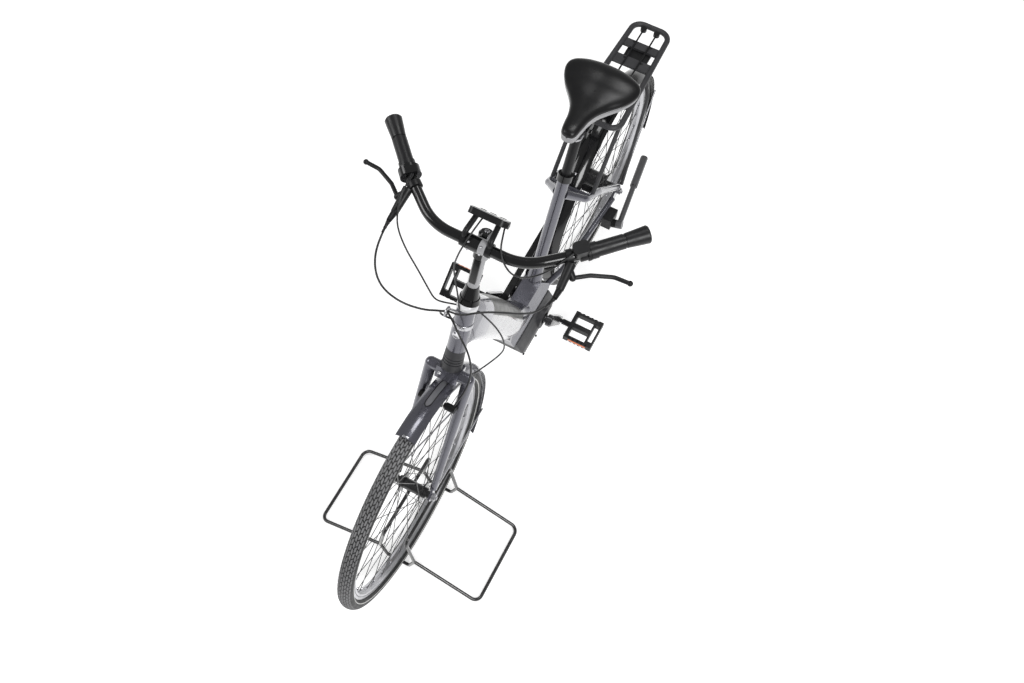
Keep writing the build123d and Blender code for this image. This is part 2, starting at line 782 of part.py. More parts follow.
def stem():
    """Straight stem with the bar clamp at its top."""
    quill = rod(on_steering(0, 0, head_tube_top + 20.2), on_steering(0, 0, bar_height - 6), steerer_radius)
    head = rod(on_steering(0, 0, bar_height - 60), on_steering(0, 0, bar_height + 4), 18.0)
    cap = rod(on_steering(0, 0, bar_height + 4), on_steering(0, 0, bar_height + 9), 18.0, 14.0)
    reach = rod(on_steering(0, 0, bar_height - 18), on_steering(bar_reach, 0, bar_height), 16.0)
    clamp = rod(on_steering(bar_reach, -24, bar_height), on_steering(bar_reach, 24, bar_height), 18.0)
    hole = rod(on_steering(bar_reach, -60, bar_height), on_steering(bar_reach, 60, bar_height), bar_radius)
    return quill + head + cap + reach + clamp - hole


def handlebar(room=0.0):
    """Swept handlebar, from grip end to grip end; with room it is the bore of what it passes through."""
    half = [from_bar(bar_corner), from_bar(bar_sweep), from_bar(grip_end_from_bar)]
    points = [Vector(p.X, -p.Y, p.Z) for p in reversed(half)] + half
    return bent_rod(points, [200, 130, 130, 200], bar_radius + room)


def grip():
    """Left grip: flared end, groove, textured sleeve and inner ring."""
    shape = rod(along_bar(-3), along_bar(0), grip_end_radius - 2, grip_end_radius)
    shape += rod(along_bar(0), along_bar(50), grip_end_radius, grip_radius)
    shape += rod(along_bar(50), along_bar(54), grip_radius - 1.6)
    shape += rod(along_bar(54), along_bar(grip_length - 16), grip_radius + 0.4)
    shape += rod(along_bar(grip_length - 16), along_bar(grip_length), grip_radius + 2.4)
    return shape - rod(along_bar(0), along_bar(grip_length + 5), bar_radius)


def twist_shifter():
    """Round gear shifter inside the right grip."""
    start = grip_length + 1
    middle = start + shifter_length
    shape = rod(along_bar(start), along_bar(middle), shifter_radius)
    shape -= rod(along_bar(start - 2), along_bar(middle + 20), bar_radius)
    window = along_bar(start + shifter_length / 2) + Vector(8, -8, 24)
    shape += Pos(window.X, window.Y, window.Z) * Rot(0, 0, -45) * Box(20, 26, 12)
    shape -= rod(along_bar(start - 2), along_bar(middle + 20), bar_radius)
    return mirrored(shape)


def control_pod():
    """Control pod for the display and a ring, inside the left grip."""
    ring = rod(along_bar(grip_length + 1), along_bar(grip_length + 7), 20.0)
    collar = rod(along_bar(grip_length + 10), along_bar(grip_length + 24), 17.0)
    place = along_bar(grip_length + 17) + Vector(4, -3, 21)
    pad = extrude(Plane(origin=place, x_dir=(0.7, -0.7, 0), z_dir=(0.2, 0, 1)) * RectangleRounded(36, 30, 10), amount=12, both=True)
    bore = rod(along_bar(grip_length - 6), along_bar(grip_length + 26), bar_radius)
    return ring + collar + pad - bore


def brake_lever():
    """Left brake lever: clamp, master cylinder and curved blade."""
    outer, inner = from_bar(bar_sweep), from_bar(bar_corner)
    run = (inner - outer).normalized()
    middle = outer + run * ((bar_sweep[1] - lever_clamp_y) / -run.Y)
    clamp = rod(middle - run * 7, middle + run * 7, 17.0)
    front = from_bar(lever_body_from_bar)
    body = rod(middle + Vector(12, 10, -4), front - Vector(24, 0, 0), 12.0, 9.0)
    body += rod(front - Vector(24, 0, 0), front, 8.0, 6.0)
    pivot = from_bar(lever_route_from_bar[0])
    lug = rod(middle + Vector(20, 8, -5), pivot, 8.0) + ball(pivot, 8.0)
    blade = bent_rod([from_bar(place) for place in lever_route_from_bar], 30, lever_radius)
    tip = from_bar(lever_route_from_bar[-1])
    bore = rod(middle - run * 40, middle + run * 40, bar_radius)
    return clamp + body + lug + blade + ball(tip, lever_radius + 1.5) - bore


def display():
    """Display that faces the rider, with its two arms clamped to the bar."""
    tilt = math.radians(display_tilt)
    normal = Vector(-math.sin(tilt), 0, math.cos(tilt))
    rise = Vector(math.cos(tilt), 0, math.sin(tilt))
    edge = from_bar(display_edge_from_bar)
    centre = edge - rise * (display_length / 2)
    plate = Plane(origin=centre, x_dir=(0, 1, 0), z_dir=normal)
    case = extrude(plate * RectangleRounded(display_width, display_length, 12), amount=display_thickness / 2, both=True)
    lobe = rod(edge - rise * 12 + Vector(0, display_width / 2 - 4, 0), edge - rise * 12 + Vector(0, display_width / 2 + 8, 0), 7)
    shape = case + lobe
    for y in (-display_arm_y, display_arm_y):
        low = bar_middle + Vector(0, y, 0)
        bend = bar_middle + Vector(2, y, 26)
        high = centre + Vector(0, y * 0.85, 0)
        shape += bent_rod([low, bend, high], 14, display_arm_radius)
        shape += rod(low - Vector(0, 6, 0), low + Vector(0, 6, 0), bar_radius + 4)
    return shape - rod(bar_middle - Vector(0, 60, 0), bar_middle + Vector(0, 60, 0), bar_radius)


def front_fender():
    """Front fender with a shallow window in its crown."""
    bulge = front_fender_width / 2
    sag = bulge * 0.32 + fender_thickness
    bend = (bulge**2 + sag**2) / (2 * sag)
    floor = bend - fender_window_depth
    half = fender_window_half
    low = math.sqrt(floor**2 - half**2) - bend + fender_thickness
    arc = ThreePointArc((-half, low), (0, fender_thickness - fender_window_depth), (half, low))
    top = Polyline((half, low), (half, 6), (-half, 6), (-half, low))
    window = swept_about(front_axle, make_face([arc, top]), fender_window_angles)
    return fender_shell(front_axle, front_fender_angles, front_fender_width) - window


def cable_guide():
    """Bracket on the head tube with the ring that gathers the hoses."""
    forward, left, up = clip_on_steering
    ring_at = on_steering(forward, left, up)
    ring = Plane(origin=ring_at, x_dir=steer_forward, z_dir=(0, 1, 0)) * Torus(clip_ring_radius, clip_wire_radius)
    seat = on_steering(head_tube_radius * 0.58, -head_tube_radius * 0.66, up)
    arm = rod(ring_at - steer_forward * clip_ring_radius, seat, clip_wire_radius + 0.6)
    return ring + arm


# ------------------------------------------------------------------ stand

def stand_loop():
    """Left floor loop of the wire stand."""
    knee_f = (stand_front_x, stand_knee_y, stand_knee_z)
    knee_r = (stand_rear_x, stand_knee_y, stand_knee_z)
    low = stand_rod
    return bent_rod([knee_f, (stand_front_x, stand_half_width, low), (stand_rear_x, stand_half_width, low), knee_r],
                    22, stand_rod)


def stand_hoop():
    """Left hoop of the wire stand, beside the wheel."""
    knee_f = (stand_front_x, stand_knee_y, stand_knee_z)
    knee_r = (stand_rear_x, stand_knee_y, stand_knee_z)
    high_f = (stand_front_x, stand_hoop_y, stand_hoop_z)
    high_r = (stand_rear_x, stand_hoop_y, stand_hoop_z)
    return bent_rod([knee_f, high_f, high_r, knee_r], 18, stand_rod)


def stand_cradle(x):
    """Cross wire that the tyre stands on."""
    reach = wheel_radius + stand_rod + running_gap
    low = wheel_radius - math.sqrt(reach**2 - (x - front_axle_x)**2)
    y = stand_cradle_y
    return bent_rod([(x, stand_knee_y, stand_knee_z), (x, y, low), (x, -y, low), (x, -stand_knee_y, stand_knee_z)],
                    10, stand_rod)


# ------------------------------------------------------------------ drive

def crank_point(side):
    """Pedal axle of one crank: the left one at the crank angle, the right one opposite."""
    turn = math.radians(crank_angle if side > 0 else crank_angle + 180)
    return Vector(crank_length * math.cos(turn), 0, bb_height + crank_length * math.sin(turn))


def cranks():
    """Spindle with two tapered crank arms."""
    edge = crank_inner_face + crank_arm_thickness + 2
    shape = disc_about_y(bottom_bracket, spindle_radius, -edge, edge)
    for side in (-1, 1):
        end = crank_point(side)
        run = (end - bottom_bracket).normalized()
        outline = make_hull((Circle(18) + Pos(crank_length, 0) * Circle(14)).edges())
        low = min(side * crank_inner_face, side * (crank_inner_face + crank_arm_thickness))
        plane = Plane(origin=(0, low, bb_height), x_dir=run, z_dir=(0, 1, 0))
        shape += extrude(plane * outline, amount=crank_arm_thickness)
        cap_from, cap_to = sorted((side * crank_inner_face, side * (edge + 2)))
        shape += disc_about_y(bottom_bracket, 14, cap_from, cap_to)
        shape -= disc_about_y(end, 7.0, -120, 120)
    return shape


def chainring():
    """Chainring with five windows."""
    shape = disc_about_y(bottom_bracket, chainring_radius, -chain_line - 2, -chain_line + 2)
    for number in range(5):
        place = about_wheel(bottom_bracket, 45, 72 * number, 0)
        shape -= disc_about_y(place, 16, -chain_line - 10, -chain_line + 10)
    return shape - disc_about_y(bottom_bracket, spindle_radius, -120, 0)


def pedal(side, tilt):
    """Cage pedal with a spine, three windows and toothed edges."""
    end = crank_point(side)
    cage = Box(pedal_length, pedal_width, pedal_height)
    for dx in (-24, 24):
        cage -= Pos(dx, -side * 7, 0) * Box(32, pedal_width - 38, 60)
    cage -= Pos(0, side * (pedal_width / 2 - 13), 0) * Box(62, 14, 60)
    teeth = int((pedal_width - 16) / pedal_tooth_pitch)
    for number in range(teeth):
        y = (number - (teeth - 1) / 2) * pedal_tooth_pitch
        for x in (-pedal_length / 2, pedal_length / 2):
            for z in (-pedal_height / 2, pedal_height / 2):
                cage -= Pos(x, y, z) * Box(10, 6.5, 7)
    shape = Pos(end.X, side * pedal_centre_y, end.Z) * Rot(0, tilt, 0) * cage
    low, high = sorted((side * (crank_inner_face + 2), side * pedal_centre_y))
    return shape + disc_about_y(end, 6.0, low, high) + disc_about_y(end, 9.0, *sorted((side * 92, side * 118)))


def kickstand():
    """Side stand leg with its foot."""
    run = (kickstand_tip - kickstand_pivot).normalized()
    sleeve = rod(kickstand_tip - run * 120, kickstand_tip, kickstand_sleeve_radius)
    leg = rod(kickstand_pivot + run * 6, kickstand_tip - run * 60, kickstand_radius)
    barrel = rod(kickstand_pivot + stand_axis * 9, kickstand_pivot - stand_axis * 9.5, 13.5)
    return barrel + (leg + sleeve)


def kickstand_bracket():
    """Block on the left chain stay that holds the side stand's pivot."""
    boss = rod(kickstand_pivot + stand_axis * 9.4, kickstand_pivot + stand_axis * 40, 13.0)
    block = Pos(kickstand_pivot.X, 87, kickstand_pivot.Z + 10) * Box(52, 30, 42)
    return boss + block


# ------------------------------------------------------------------ hoses and cables

clip = on_steering(*clip_on_steering)


def from_clip(x, y, z):
    """Point measured from the middle of the guide ring."""
    return clip + Vector(x, y, z)


def front_brake_hose():
    """From the right lever through the guide ring, across the head tube, to the left front brake."""
    high = [from_bar(place) for place in ((30, -203, -15), (72, -206, -38), (106, -202, -88), (120, -182, -146))]
    low = [from_clip(*place) for place in ((40, -103, 19), (24, -51, 1), (-2, -1, 3), (30, 43, -19), (42, 79, -59),
                                           (56, 97, -113), (72, 97, -165), (90, 89, -203), (112, 79, -231))]
    return cord(high + low, hose_radius)


def rear_brake_hose():
    """From the left lever through the guide ring into the main tube's right side."""
    high = [from_bar(place) for place in ((30, 203, -15), (58, 184, -48), (56, 140, -98), (50, 92, -142))]
    low = [from_clip(*place) for place in ((-18, 79, 37), (4, 37, 17), (-4, -1, -3), (-6, -25, -29), (-16, -21, -65),
                                           (-28, 11, -79))]
    return cord(high + low, hose_radius)


def shifter_cable():
    """From the gear shifter down past the guide ring into the main tube's right side."""
    high = [from_bar(place) for place in ((-72, -201, 37), (-44, -197, 38), (-16, -197, 26), (8, -193, 1), (27, -185, -32),
                                          (44, -156, -74), (58, -118, -112), (70, -86, -150))]
    low = [from_clip(*place) for place in ((-4, -35, 21), (-20, -19, -5), (-35, 9, -15))]
    return cord(high + low, cable_radius)


def lamp_cable():
    """Loop from the main tube's left side to the fork crown."""
    route = ((-46, 56, -19), (-41, 95, -31), (-38, 127, -69), (-42, 135, -125), (-46, 123, -181), (-32, 101, -225),
             (0, 83, -235), (26, 77, -217), (46, 73, -194))
    return cord([from_clip(*place) for place in route], cable_radius)


def display_cable():
    """From the display forward over the bar and down into the head tube."""
    route = ((-48, -10, 38.5), (-18, -12, 39), (14, -18, 23), (34, -28, -13), (40, -36, -59), (42, -32, -105), (53, -17, -160))
    return cord([from_bar(place) for place in route] + [on_steering(22, -8, head_tube_top - 24)], cable_radius)


def pod_cable():
    """From the display out to the control pod at the left grip."""
    route = ((-46, 42, 37), (-24, 48, 29), (0, 56, 24), (19, 74, 5), (20, 98, -23), (4, 126, -33), (-16, 152, -23),
             (-29, 171, -2), (-39, 185, 19), (-55, 196, 30), (-70, 203, 33))
    return cord([from_bar(place) for place in route], cable_radius)


# ------------------------------------------------------------------ parts

parts = {}
parts["main_frame"] = main_frame()
parts["battery_cover"] = battery_cover() - parts["main_frame"]
parts["seat_tube"] = seat_tube() - parts["main_frame"]
left_chain_stay = chain_stay() - parts["main_frame"] - parts["seat_tube"]
left_seat_stay = seat_stay() - left_chain_stay
parts["chain_stays"] = both_sides(left_chain_stay)
parts["seat_stays"] = both_sides(left_seat_stay)
parts["stay_bridge"] = stay_bridge() - left_seat_stay - mirrored(left_seat_stay)
parts["motor_unit"] = motor_unit()
parts["motor_cover_left"] = motor_cover(1) - parts["motor_unit"]
parts["motor_cover_right"] = motor_cover(-1) - parts["motor_unit"]
parts["chain_guard"] = chain_guard() - parts["main_frame"] - parts["chain_stays"]
parts["chain"] = chain()
parts["rear_skewer"] = axle_skewer(rear_axle, rear_hub_width, dropout_thickness)
rails = saddle_rails()
parts["saddle"] = saddle()
parts["saddle_rails"] = rails - parts["saddle"]
parts["seatpost"] = seatpost() - rails
parts["seat_clamp"] = seat_clamp_collar() - parts["seat_tube"] - parts["seatpost"] - parts["seat_stays"]
parts["rear_fender"] = fender_shell(rear_axle, rear_fender_angles, rear_fender_width)
parts["rack"] = rack()
parts["rack_springs"] = group(*rack_springs())
struts = group(*[piece - parts["rack"] - left_seat_stay for piece in rack_struts().solids()])
parts["rack_struts"] = group(struts, mirrored(struts))
rear_wire = fender_wire(rear_axle, rear_wire_angle,
                        rear_axle + Vector(-15, stay_outer_y + fender_wire_radius + 0.2, 14), rear_fender_width / 2)
parts["rear_fender_stays"] = both_sides(rear_wire)
rear_brake = rim_brake(rear_axle, rear_brake_angle, about_wheel(rear_axle, brake_radius + 6, rear_brake_angle, 62))
parts["rear_brake"] = both_sides(rear_brake - left_seat_stay)
parts["front_skewer"] = axle_skewer(front_axle, front_hub_width, fork_plate)
parts["fork"] = fork() - parts["front_skewer"]
front_wire = fender_wire(front_axle, front_wire_angle,
                         on_steering(fork_offset - 4, front_hub_width / 2 + fork_plate + fender_wire_radius + 0.2, 26),
                         front_fender_width / 2)
parts["front_fender_stays"] = both_sides(front_wire - parts["fork"])
front_brake_at = on_steering(38, 0, math.sqrt(brake_radius**2 - (fork_offset - 38)**2))
front_brake_angle = math.degrees(math.atan2(front_brake_at.Z - front_axle.Z, front_brake_at.X - front_axle.X))
front_brake = rim_brake(front_axle, front_brake_angle, on_steering(16, blade_spread - 2, 300))
parts["front_brake"] = both_sides(front_brake - parts["fork"])
parts["head_boot"] = head_boot()
parts["headset_cap"] = headset_cap()
parts["cable_guide"] = cable_guide() - parts["main_frame"]
parts["handlebar"] = handlebar()
bar_bore = handlebar(0.2)
parts["stem"] = stem() - bar_bore
parts["grips"] = both_sides(grip())
parts["twist_shifter"] = twist_shifter() - bar_bore
parts["control_pod"] = control_pod() - bar_bore
parts["brake_levers"] = both_sides(brake_lever() - bar_bore)
parts["display"] = display() - bar_bore
parts["front_fender"] = front_fender()
stand = stand_loop()
hoop = stand_hoop() - stand
cradles = [stand_cradle(x) - stand - mirrored(stand) - hoop - mirrored(hoop) for x in (stand_front_x, stand_rear_x)]
parts["wheel_stand"] = both_sides(stand)
parts["stand_hoops"] = both_sides(hoop)
parts["stand_cradles"] = group(*cradles)
parts["front_tyre"] = tyre(front_axle)
parts["front_rim"] = rim(front_axle)
parts["front_hub"] = hub_and_spokes(front_axle, front_hub_width, front_flange_y, hub_barrel_radius, hub_flange_radius)
parts["rear_tyre"] = tyre(rear_axle)
parts["rear_rim"] = rim(rear_axle)
parts["rear_hub"] = hub_and_spokes(rear_axle, rear_hub_width, rear_flange_y, rear_barrel_radius, rear_flange_radius)
parts["sprocket"] = sprocket()
parts["cranks"] = cranks()
parts["chainring"] = chainring()
parts["pedal_left"] = pedal(1, left_pedal_tilt)
parts["pedal_right"] = pedal(-1, right_pedal_tilt)
parts["kickstand"] = kickstand()
parts["kickstand_bracket"] = kickstand_bracket() - left_chain_stay
parts["brake_hoses"] = group(front_brake_hose() - parts["brake_levers"] - parts["front_brake"],
                             rear_brake_hose() - parts["brake_levers"] - parts["main_frame"])
parts["bar_cables"] = group(shifter_cable() - parts["twist_shifter"] - parts["main_frame"],
                            lamp_cable() - parts["main_frame"] - parts["fork"])
parts["display_cables"] = group(display_cable() - parts["display"] - parts["main_frame"],
                                pod_cable() - parts["display"] - parts["control_pod"])

os.makedirs("parts", exist_ok=True)
for name, shape in parts.items():
    moved = Pos(-centre_x, 0, 0) * shape
    moved.label = name
    export_step(moved, f"parts/{name}.step")
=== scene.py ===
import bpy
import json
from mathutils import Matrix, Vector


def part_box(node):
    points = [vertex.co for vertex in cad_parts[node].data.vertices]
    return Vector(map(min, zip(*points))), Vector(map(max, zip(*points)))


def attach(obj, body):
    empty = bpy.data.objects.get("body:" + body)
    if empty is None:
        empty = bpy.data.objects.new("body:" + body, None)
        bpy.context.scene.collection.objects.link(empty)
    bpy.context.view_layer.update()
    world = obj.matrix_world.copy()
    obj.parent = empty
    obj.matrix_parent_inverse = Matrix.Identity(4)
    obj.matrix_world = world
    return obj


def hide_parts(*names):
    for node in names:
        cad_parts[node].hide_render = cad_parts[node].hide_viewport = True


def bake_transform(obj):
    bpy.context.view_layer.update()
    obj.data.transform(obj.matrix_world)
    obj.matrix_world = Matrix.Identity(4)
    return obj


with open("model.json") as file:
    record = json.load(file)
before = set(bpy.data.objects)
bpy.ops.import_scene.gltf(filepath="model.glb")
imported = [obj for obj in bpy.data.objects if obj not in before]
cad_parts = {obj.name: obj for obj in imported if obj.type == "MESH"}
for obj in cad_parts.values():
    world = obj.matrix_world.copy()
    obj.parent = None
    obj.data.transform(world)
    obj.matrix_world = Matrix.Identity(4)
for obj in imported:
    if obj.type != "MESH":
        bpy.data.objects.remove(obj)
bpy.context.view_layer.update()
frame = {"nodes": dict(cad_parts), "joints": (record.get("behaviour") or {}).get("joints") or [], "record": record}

import json
import math

import bmesh
import bpy
from mathutils import Matrix, Vector

bl_info = {
    "name": "Step-through electric bicycle",
    "version": (1, 0, 0),
    "blender": (4, 5, 0),
    "location": "View3D > Sidebar > Bicycle",
    "description": "Finishes, tread, saddle and trim of a step-through electric bicycle on a wire stand",
    "category": "Add Mesh",
}

MM = 0.001
FRONT_AXLE = (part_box("front_tyre")[0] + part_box("front_tyre")[1]) / 2
REAR_AXLE = (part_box("rear_tyre")[0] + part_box("rear_tyre")[1]) / 2
STEER_UP = Vector(next(item for item in frame["joints"] if item["name"] == "steering")["axis"]).normalized()
STEER_AHEAD = Vector((STEER_UP.z, 0.0, -STEER_UP.x))
ACROSS = Vector((0.0, 1.0, 0.0))
FORK_OFFSET = 0.052
BAR_MIDDLE = FRONT_AXLE + STEER_AHEAD * -0.005 + STEER_UP * 0.796


def on_steering(ahead, left, up):
    """Point in millimetres ahead of, left of and up the steering axis."""
    return FRONT_AXLE + STEER_AHEAD * (ahead * MM - FORK_OFFSET) + ACROSS * (left * MM) + STEER_UP * (up * MM)


def from_bar(ahead, left, up):
    """Point in millimetres from the middle of the handlebar."""
    return BAR_MIDDLE + Vector((ahead, left, up)) * MM


# ------------------------------------------------------------------ sizes and colours a user may change

def colour_property(name, description, default):
    return bpy.props.FloatVectorProperty(
        name=name, description=description, default=default, size=3, min=0.0, max=1.0, subtype="COLOR"
    )


def length_property(name, description, default):
    return bpy.props.FloatProperty(
        name=name, description=description, default=default, min=0.0, subtype="DISTANCE", unit="LENGTH"
    )


class BicycleColours(bpy.types.PropertyGroup):
    """Colours of the bicycle's finishes."""

    frame_paint: colour_property("Frame paint", "Metallic paint of the frame and fork", (0.1, 0.1, 0.122))
    # Painted highlight: the head of the main tube is coloured lighter to stand for light falling on it from above.
    painted_head_highlight: colour_property("Painted head highlight", "Head of the main tube", (0.24, 0.24, 0.265))
    crank: colour_property("Crank", "Crank arms", (0.075, 0.075, 0.08))
    stand: colour_property("Side stand", "Side stand leg", (0.12, 0.12, 0.125))
    silver_paint: colour_property("Silver paint", "Light sides of the main tube", (0.34, 0.34, 0.352))
    battery_panel: colour_property("Battery cover", "Cover over the main tube", (0.1, 0.1, 0.095))
    dark_plastic: colour_property("Dark plastic", "Motor cover, boot, rack", (0.034, 0.034, 0.037))
    black_plastic: colour_property("Black plastic", "Controls and pedals", (0.012, 0.012, 0.013))
    rubber: colour_property("Rubber", "Grips", (0.012, 0.012, 0.013))
    # Tyre colour of the tread blocks, far lighter than black rubber: partly dust, partly painted light on the
    # block tops.
    tyre: colour_property("Tyre", "Tread and casing", (0.17, 0.17, 0.175))
    alloy: colour_property("Alloy", "Rims", (0.5, 0.5, 0.52))
    steel: colour_property("Steel", "Spokes, stem and fittings", (0.5, 0.5, 0.52))
    saddle: colour_property("Saddle", "Saddle cover", (0.0055, 0.0055, 0.006))
    # Grey band of the saddle's skirt, its colour raised to carry a painted highlight along the saddle's flank.
    saddle_skirt: colour_property("Saddle skirt", "Band below the saddle cover", (0.3, 0.3, 0.31))
    reflector: colour_property("Reflector", "Pedal reflectors", (0.85, 0.17, 0.01))
    floor: colour_property("Floor", "Studio floor", (0.93, 0.93, 0.93))


class BicycleSizes(bpy.types.PropertyGroup):
    """Sizes of the tread and the trim, and the camera's lens."""

    tread_depth: length_property("Tread depth", "Height of the tread blocks", 0.0013)
    tread_blocks: bpy.props.IntProperty(
        name="Tread blocks", description="Blocks round the tyre in one row", default=116, min=20, max=300
    )
    bolt_radius: length_property("Bolt radius", "Radius of the cap screws", 0.0042)
    camera_lens: bpy.props.FloatProperty(
        name="Lens",
        description="Focal length of the camera",
        default=37.36,
        min=10.0,
        max=200.0,
        unit="CAMERA",
    )


def colours():
    """The scene's colours."""
    return bpy.context.scene.bicycle_colours


def sizes():
    """The scene's sizes."""
    return bpy.context.scene.bicycle_sizes


# ------------------------------------------------------------------ materials

def add_node(tree, kind, **inputs):
    """New shader node with its input values set."""
    made = tree.nodes.new("ShaderNode" + kind)
    for name, value in inputs.items():
        made.inputs[name.replace("_", " ")].default_value = value
    return made


def pattern(tree, scale, kind="TexNoise", stretch=(1, 1, 1), **inputs):
    """Procedural pattern on the piece's own coordinates, at a scale per metre."""
    place = add_node(tree, "TexCoord")
    mapping = add_node(tree, "Mapping", Scale=stretch)
    texture = add_node(tree, kind, Scale=scale, **inputs)
    tree.links.new(place.outputs["Object"], mapping.inputs["Vector"])
    tree.links.new(mapping.outputs["Vector"], texture.inputs["Vector"])
    return texture


def spread(tree, source, low, high, from_low=0.3, from_high=0.7):
    """A pattern's value brought between two numbers."""
    ramp = add_node(tree, "MapRange")
    ramp.inputs["From Min"].default_value = from_low
    ramp.inputs["From Max"].default_value = from_high
    ramp.inputs["To Min"].default_value = low
    ramp.inputs["To Max"].default_value = high
    tree.links.new(source, ramp.inputs["Value"])
    return ramp.outputs["Result"]


def blend_colour(tree, amount, first, second):
    """Mix of two colours by a pattern's value."""
    mix = tree.nodes.new("ShaderNodeMix")
    mix.data_type = "RGBA"
    tree.links.new(amount, mix.inputs[0])
    for socket, colour in ((mix.inputs[6], first), (mix.inputs[7], second)):
        if isinstance(colour, bpy.types.NodeSocket):
            tree.links.new(colour, socket)
        else:
            socket.default_value = (*colour, 1.0)
    return mix.outputs[2]


def scaled(colour, factor):
    """Colour made lighter or darker."""
    return tuple(min(1.0, channel * factor) for channel in colour)


CLOUD_SCALE = 9.0
FLAKE_SCALE = 2600.0
FLAKE_GLINT = 2.6
DUST_SCALE = 60.0
DUST_COLOUR = (0.45, 0.44, 0.42)
BRUSH_SCALE = 220.0
SMEAR_SCALE = 45.0
COAT_ROUGHNESS = 0.08


def surface(name, colour, roughness, metallic=0.0, coat=0.0, variation=0.12, grain=700.0,
            bump=0.08, depth=0.0002, dust=0.0, flakes=0.0, brushed=None, spread_rough=0.08,
            grain_kind="TexNoise", specular=0.5):
    """Principled finish with colour change, dust, grain and optional paint flakes or brushing."""
    name = name + "_finish"
    material = bpy.data.materials.get(name)
    if material:
        return material
    material = bpy.data.materials.new(name)
    material.use_nodes = True
    tree = material.node_tree
    shader = tree.nodes["Principled BSDF"]
    shader.inputs["Metallic"].default_value = metallic
    shader.inputs["Coat Weight"].default_value = coat
    shader.inputs["Coat Roughness"].default_value = COAT_ROUGHNESS
    shader.inputs["Specular IOR Level"].default_value = specular
    clouds = pattern(tree, CLOUD_SCALE, Detail=5.0)
    shade = spread(tree, clouds.outputs["Fac"], 0.0, 1.0)
    base = blend_colour(tree, shade, scaled(colour, 1 - variation), scaled(colour, 1 + variation))
    if flakes:
        cells = pattern(tree, FLAKE_SCALE, kind="TexVoronoi")
        spark = spread(tree, cells.outputs["Distance"], flakes, 0.0, 0.0, 0.5)
        base = blend_colour(tree, spark, base, scaled(colour, FLAKE_GLINT))
    if dust:
        specks = pattern(tree, DUST_SCALE, Detail=8.0, Roughness=0.75)
        amount = spread(tree, specks.outputs["Fac"], 0.0, dust, 0.45, 0.8)
        base = blend_colour(tree, amount, base, DUST_COLOUR)
    tree.links.new(base, shader.inputs["Base Color"])
    if brushed:
        lines = pattern(tree, BRUSH_SCALE, stretch=brushed, Detail=6.0)
    else:
        lines = pattern(tree, SMEAR_SCALE, Detail=6.0)
    rough = spread(tree, lines.outputs["Fac"], max(0.02, roughness - spread_rough), roughness + spread_rough)
    tree.links.new(rough, shader.inputs["Roughness"])
    texture = pattern(tree, grain, kind=grain_kind)
    relief = add_node(tree, "Bump", Strength=bump, Distance=depth)
    height = "Distance" if grain_kind == "TexVoronoi" else "Fac"
    tree.links.new(texture.outputs[height], relief.inputs["Height"])
    tree.links.new(relief.outputs["Normal"], shader.inputs["Normal"])
    return material


def finish(slot):
    """The finish of one of the record's material slots."""
    paints = colours()
    build = {
        "frame_paint": lambda: surface(slot, paints.frame_paint, 0.24, metallic=0.6, coat=1.0, flakes=0.008,
                                       variation=0.04, bump=0.015, grain=420.0),
        "battery_panel": lambda: surface(slot, paints.battery_panel, 0.42, metallic=0.3, coat=0.15,
                                         flakes=0.05, variation=0.08, bump=0.06, grain=900.0),
        "dark_grey_plastic": lambda: surface(slot, paints.dark_plastic, 0.45, grain=1500.0, bump=0.25,
                                             grain_kind="TexVoronoi", dust=0.03, specular=0.35),
        "black_plastic": lambda: surface(slot, scaled(paints.black_plastic, 0.8), 0.36, grain=1700.0,
                                         bump=0.15, grain_kind="TexVoronoi", dust=0.006, specular=0.25),
        "gloss_black": lambda: surface(slot, scaled(paints.black_plastic, 0.4), 0.16, coat=0.45, bump=0.02,
                                       dust=0.006, specular=0.3),
        "rubber": lambda: surface(slot, paints.rubber, 0.34, grain=1100.0, bump=0.15, dust=0.005,
                                  specular=0.3),
        # Tread blocks: the light tyre colour with dust, partly painted light on their tops.
        "tyre": lambda: surface(slot, paints.tyre, 0.7, grain=900.0, bump=0.4, dust=0.16, variation=0.2),
        "rim_alloy": lambda: surface(slot, paints.alloy, 0.32, metallic=1.0, brushed=(1.0, 24.0, 1.0),
                                     bump=0.03),
        "hub_black": lambda: surface(slot, paints.black_plastic, 0.3, coat=0.5, bump=0.04),
        "steel": lambda: surface(slot, paints.steel, 0.28, metallic=1.0, brushed=(1.0, 6.0, 1.0), bump=0.03),
        "chrome": lambda: surface(slot, scaled(paints.steel, 1.5), 0.12, metallic=1.0, bump=0.01,
                                  spread_rough=0.04),
        "saddle_skin": lambda: surface(slot, paints.saddle, 0.32, grain=1300.0, bump=0.06, depth=0.0001,
                                       grain_kind="TexVoronoi", dust=0.003, spread_rough=0.05, specular=0.35),
        "wire_black": lambda: surface(slot, paints.black_plastic, 0.25, coat=0.6, bump=0.05, grain=300.0,
                                      dust=0.05),
        "cable_black": lambda: surface(slot, paints.black_plastic, 0.38, grain=2200.0, bump=0.2),
    }
    if slot not in build:
        raise RuntimeError(f"no finish is written for the slot {slot}")
    return build[slot]()


def along(tree, start, end):
    """Share of the way from one point to another, read from the piece's own coordinates."""
    place = add_node(tree, "TexCoord")
    run = Vector(end) - Vector(start)
    dot = add_node(tree, "VectorMath")
    dot.operation = "DOT_PRODUCT"
    dot.inputs[1].default_value = run / run.length_squared
    tree.links.new(place.outputs["Object"], dot.inputs[0])
    shift = add_node(tree, "Math")
    shift.operation = "SUBTRACT"
    shift.inputs[1].default_value = Vector(start).dot(run) / run.length_squared
    tree.links.new(dot.outputs["Value"], shift.inputs[0])
    return shift.outputs["Value"]


def banded(tree, share, low, high, soft=0.004):
    """One between two shares of the way, nought outside them."""
    rise = spread(tree, share, 0.0, 1.0, low, low + soft)
    fall = spread(tree, share, 1.0, 0.0, high, high + soft)
    both = add_node(tree, "Math")
    both.operation = "MULTIPLY"
    tree.links.new(rise, both.inputs[0])
    tree.links.new(fall, both.inputs[1])
    return both.outputs["Value"]


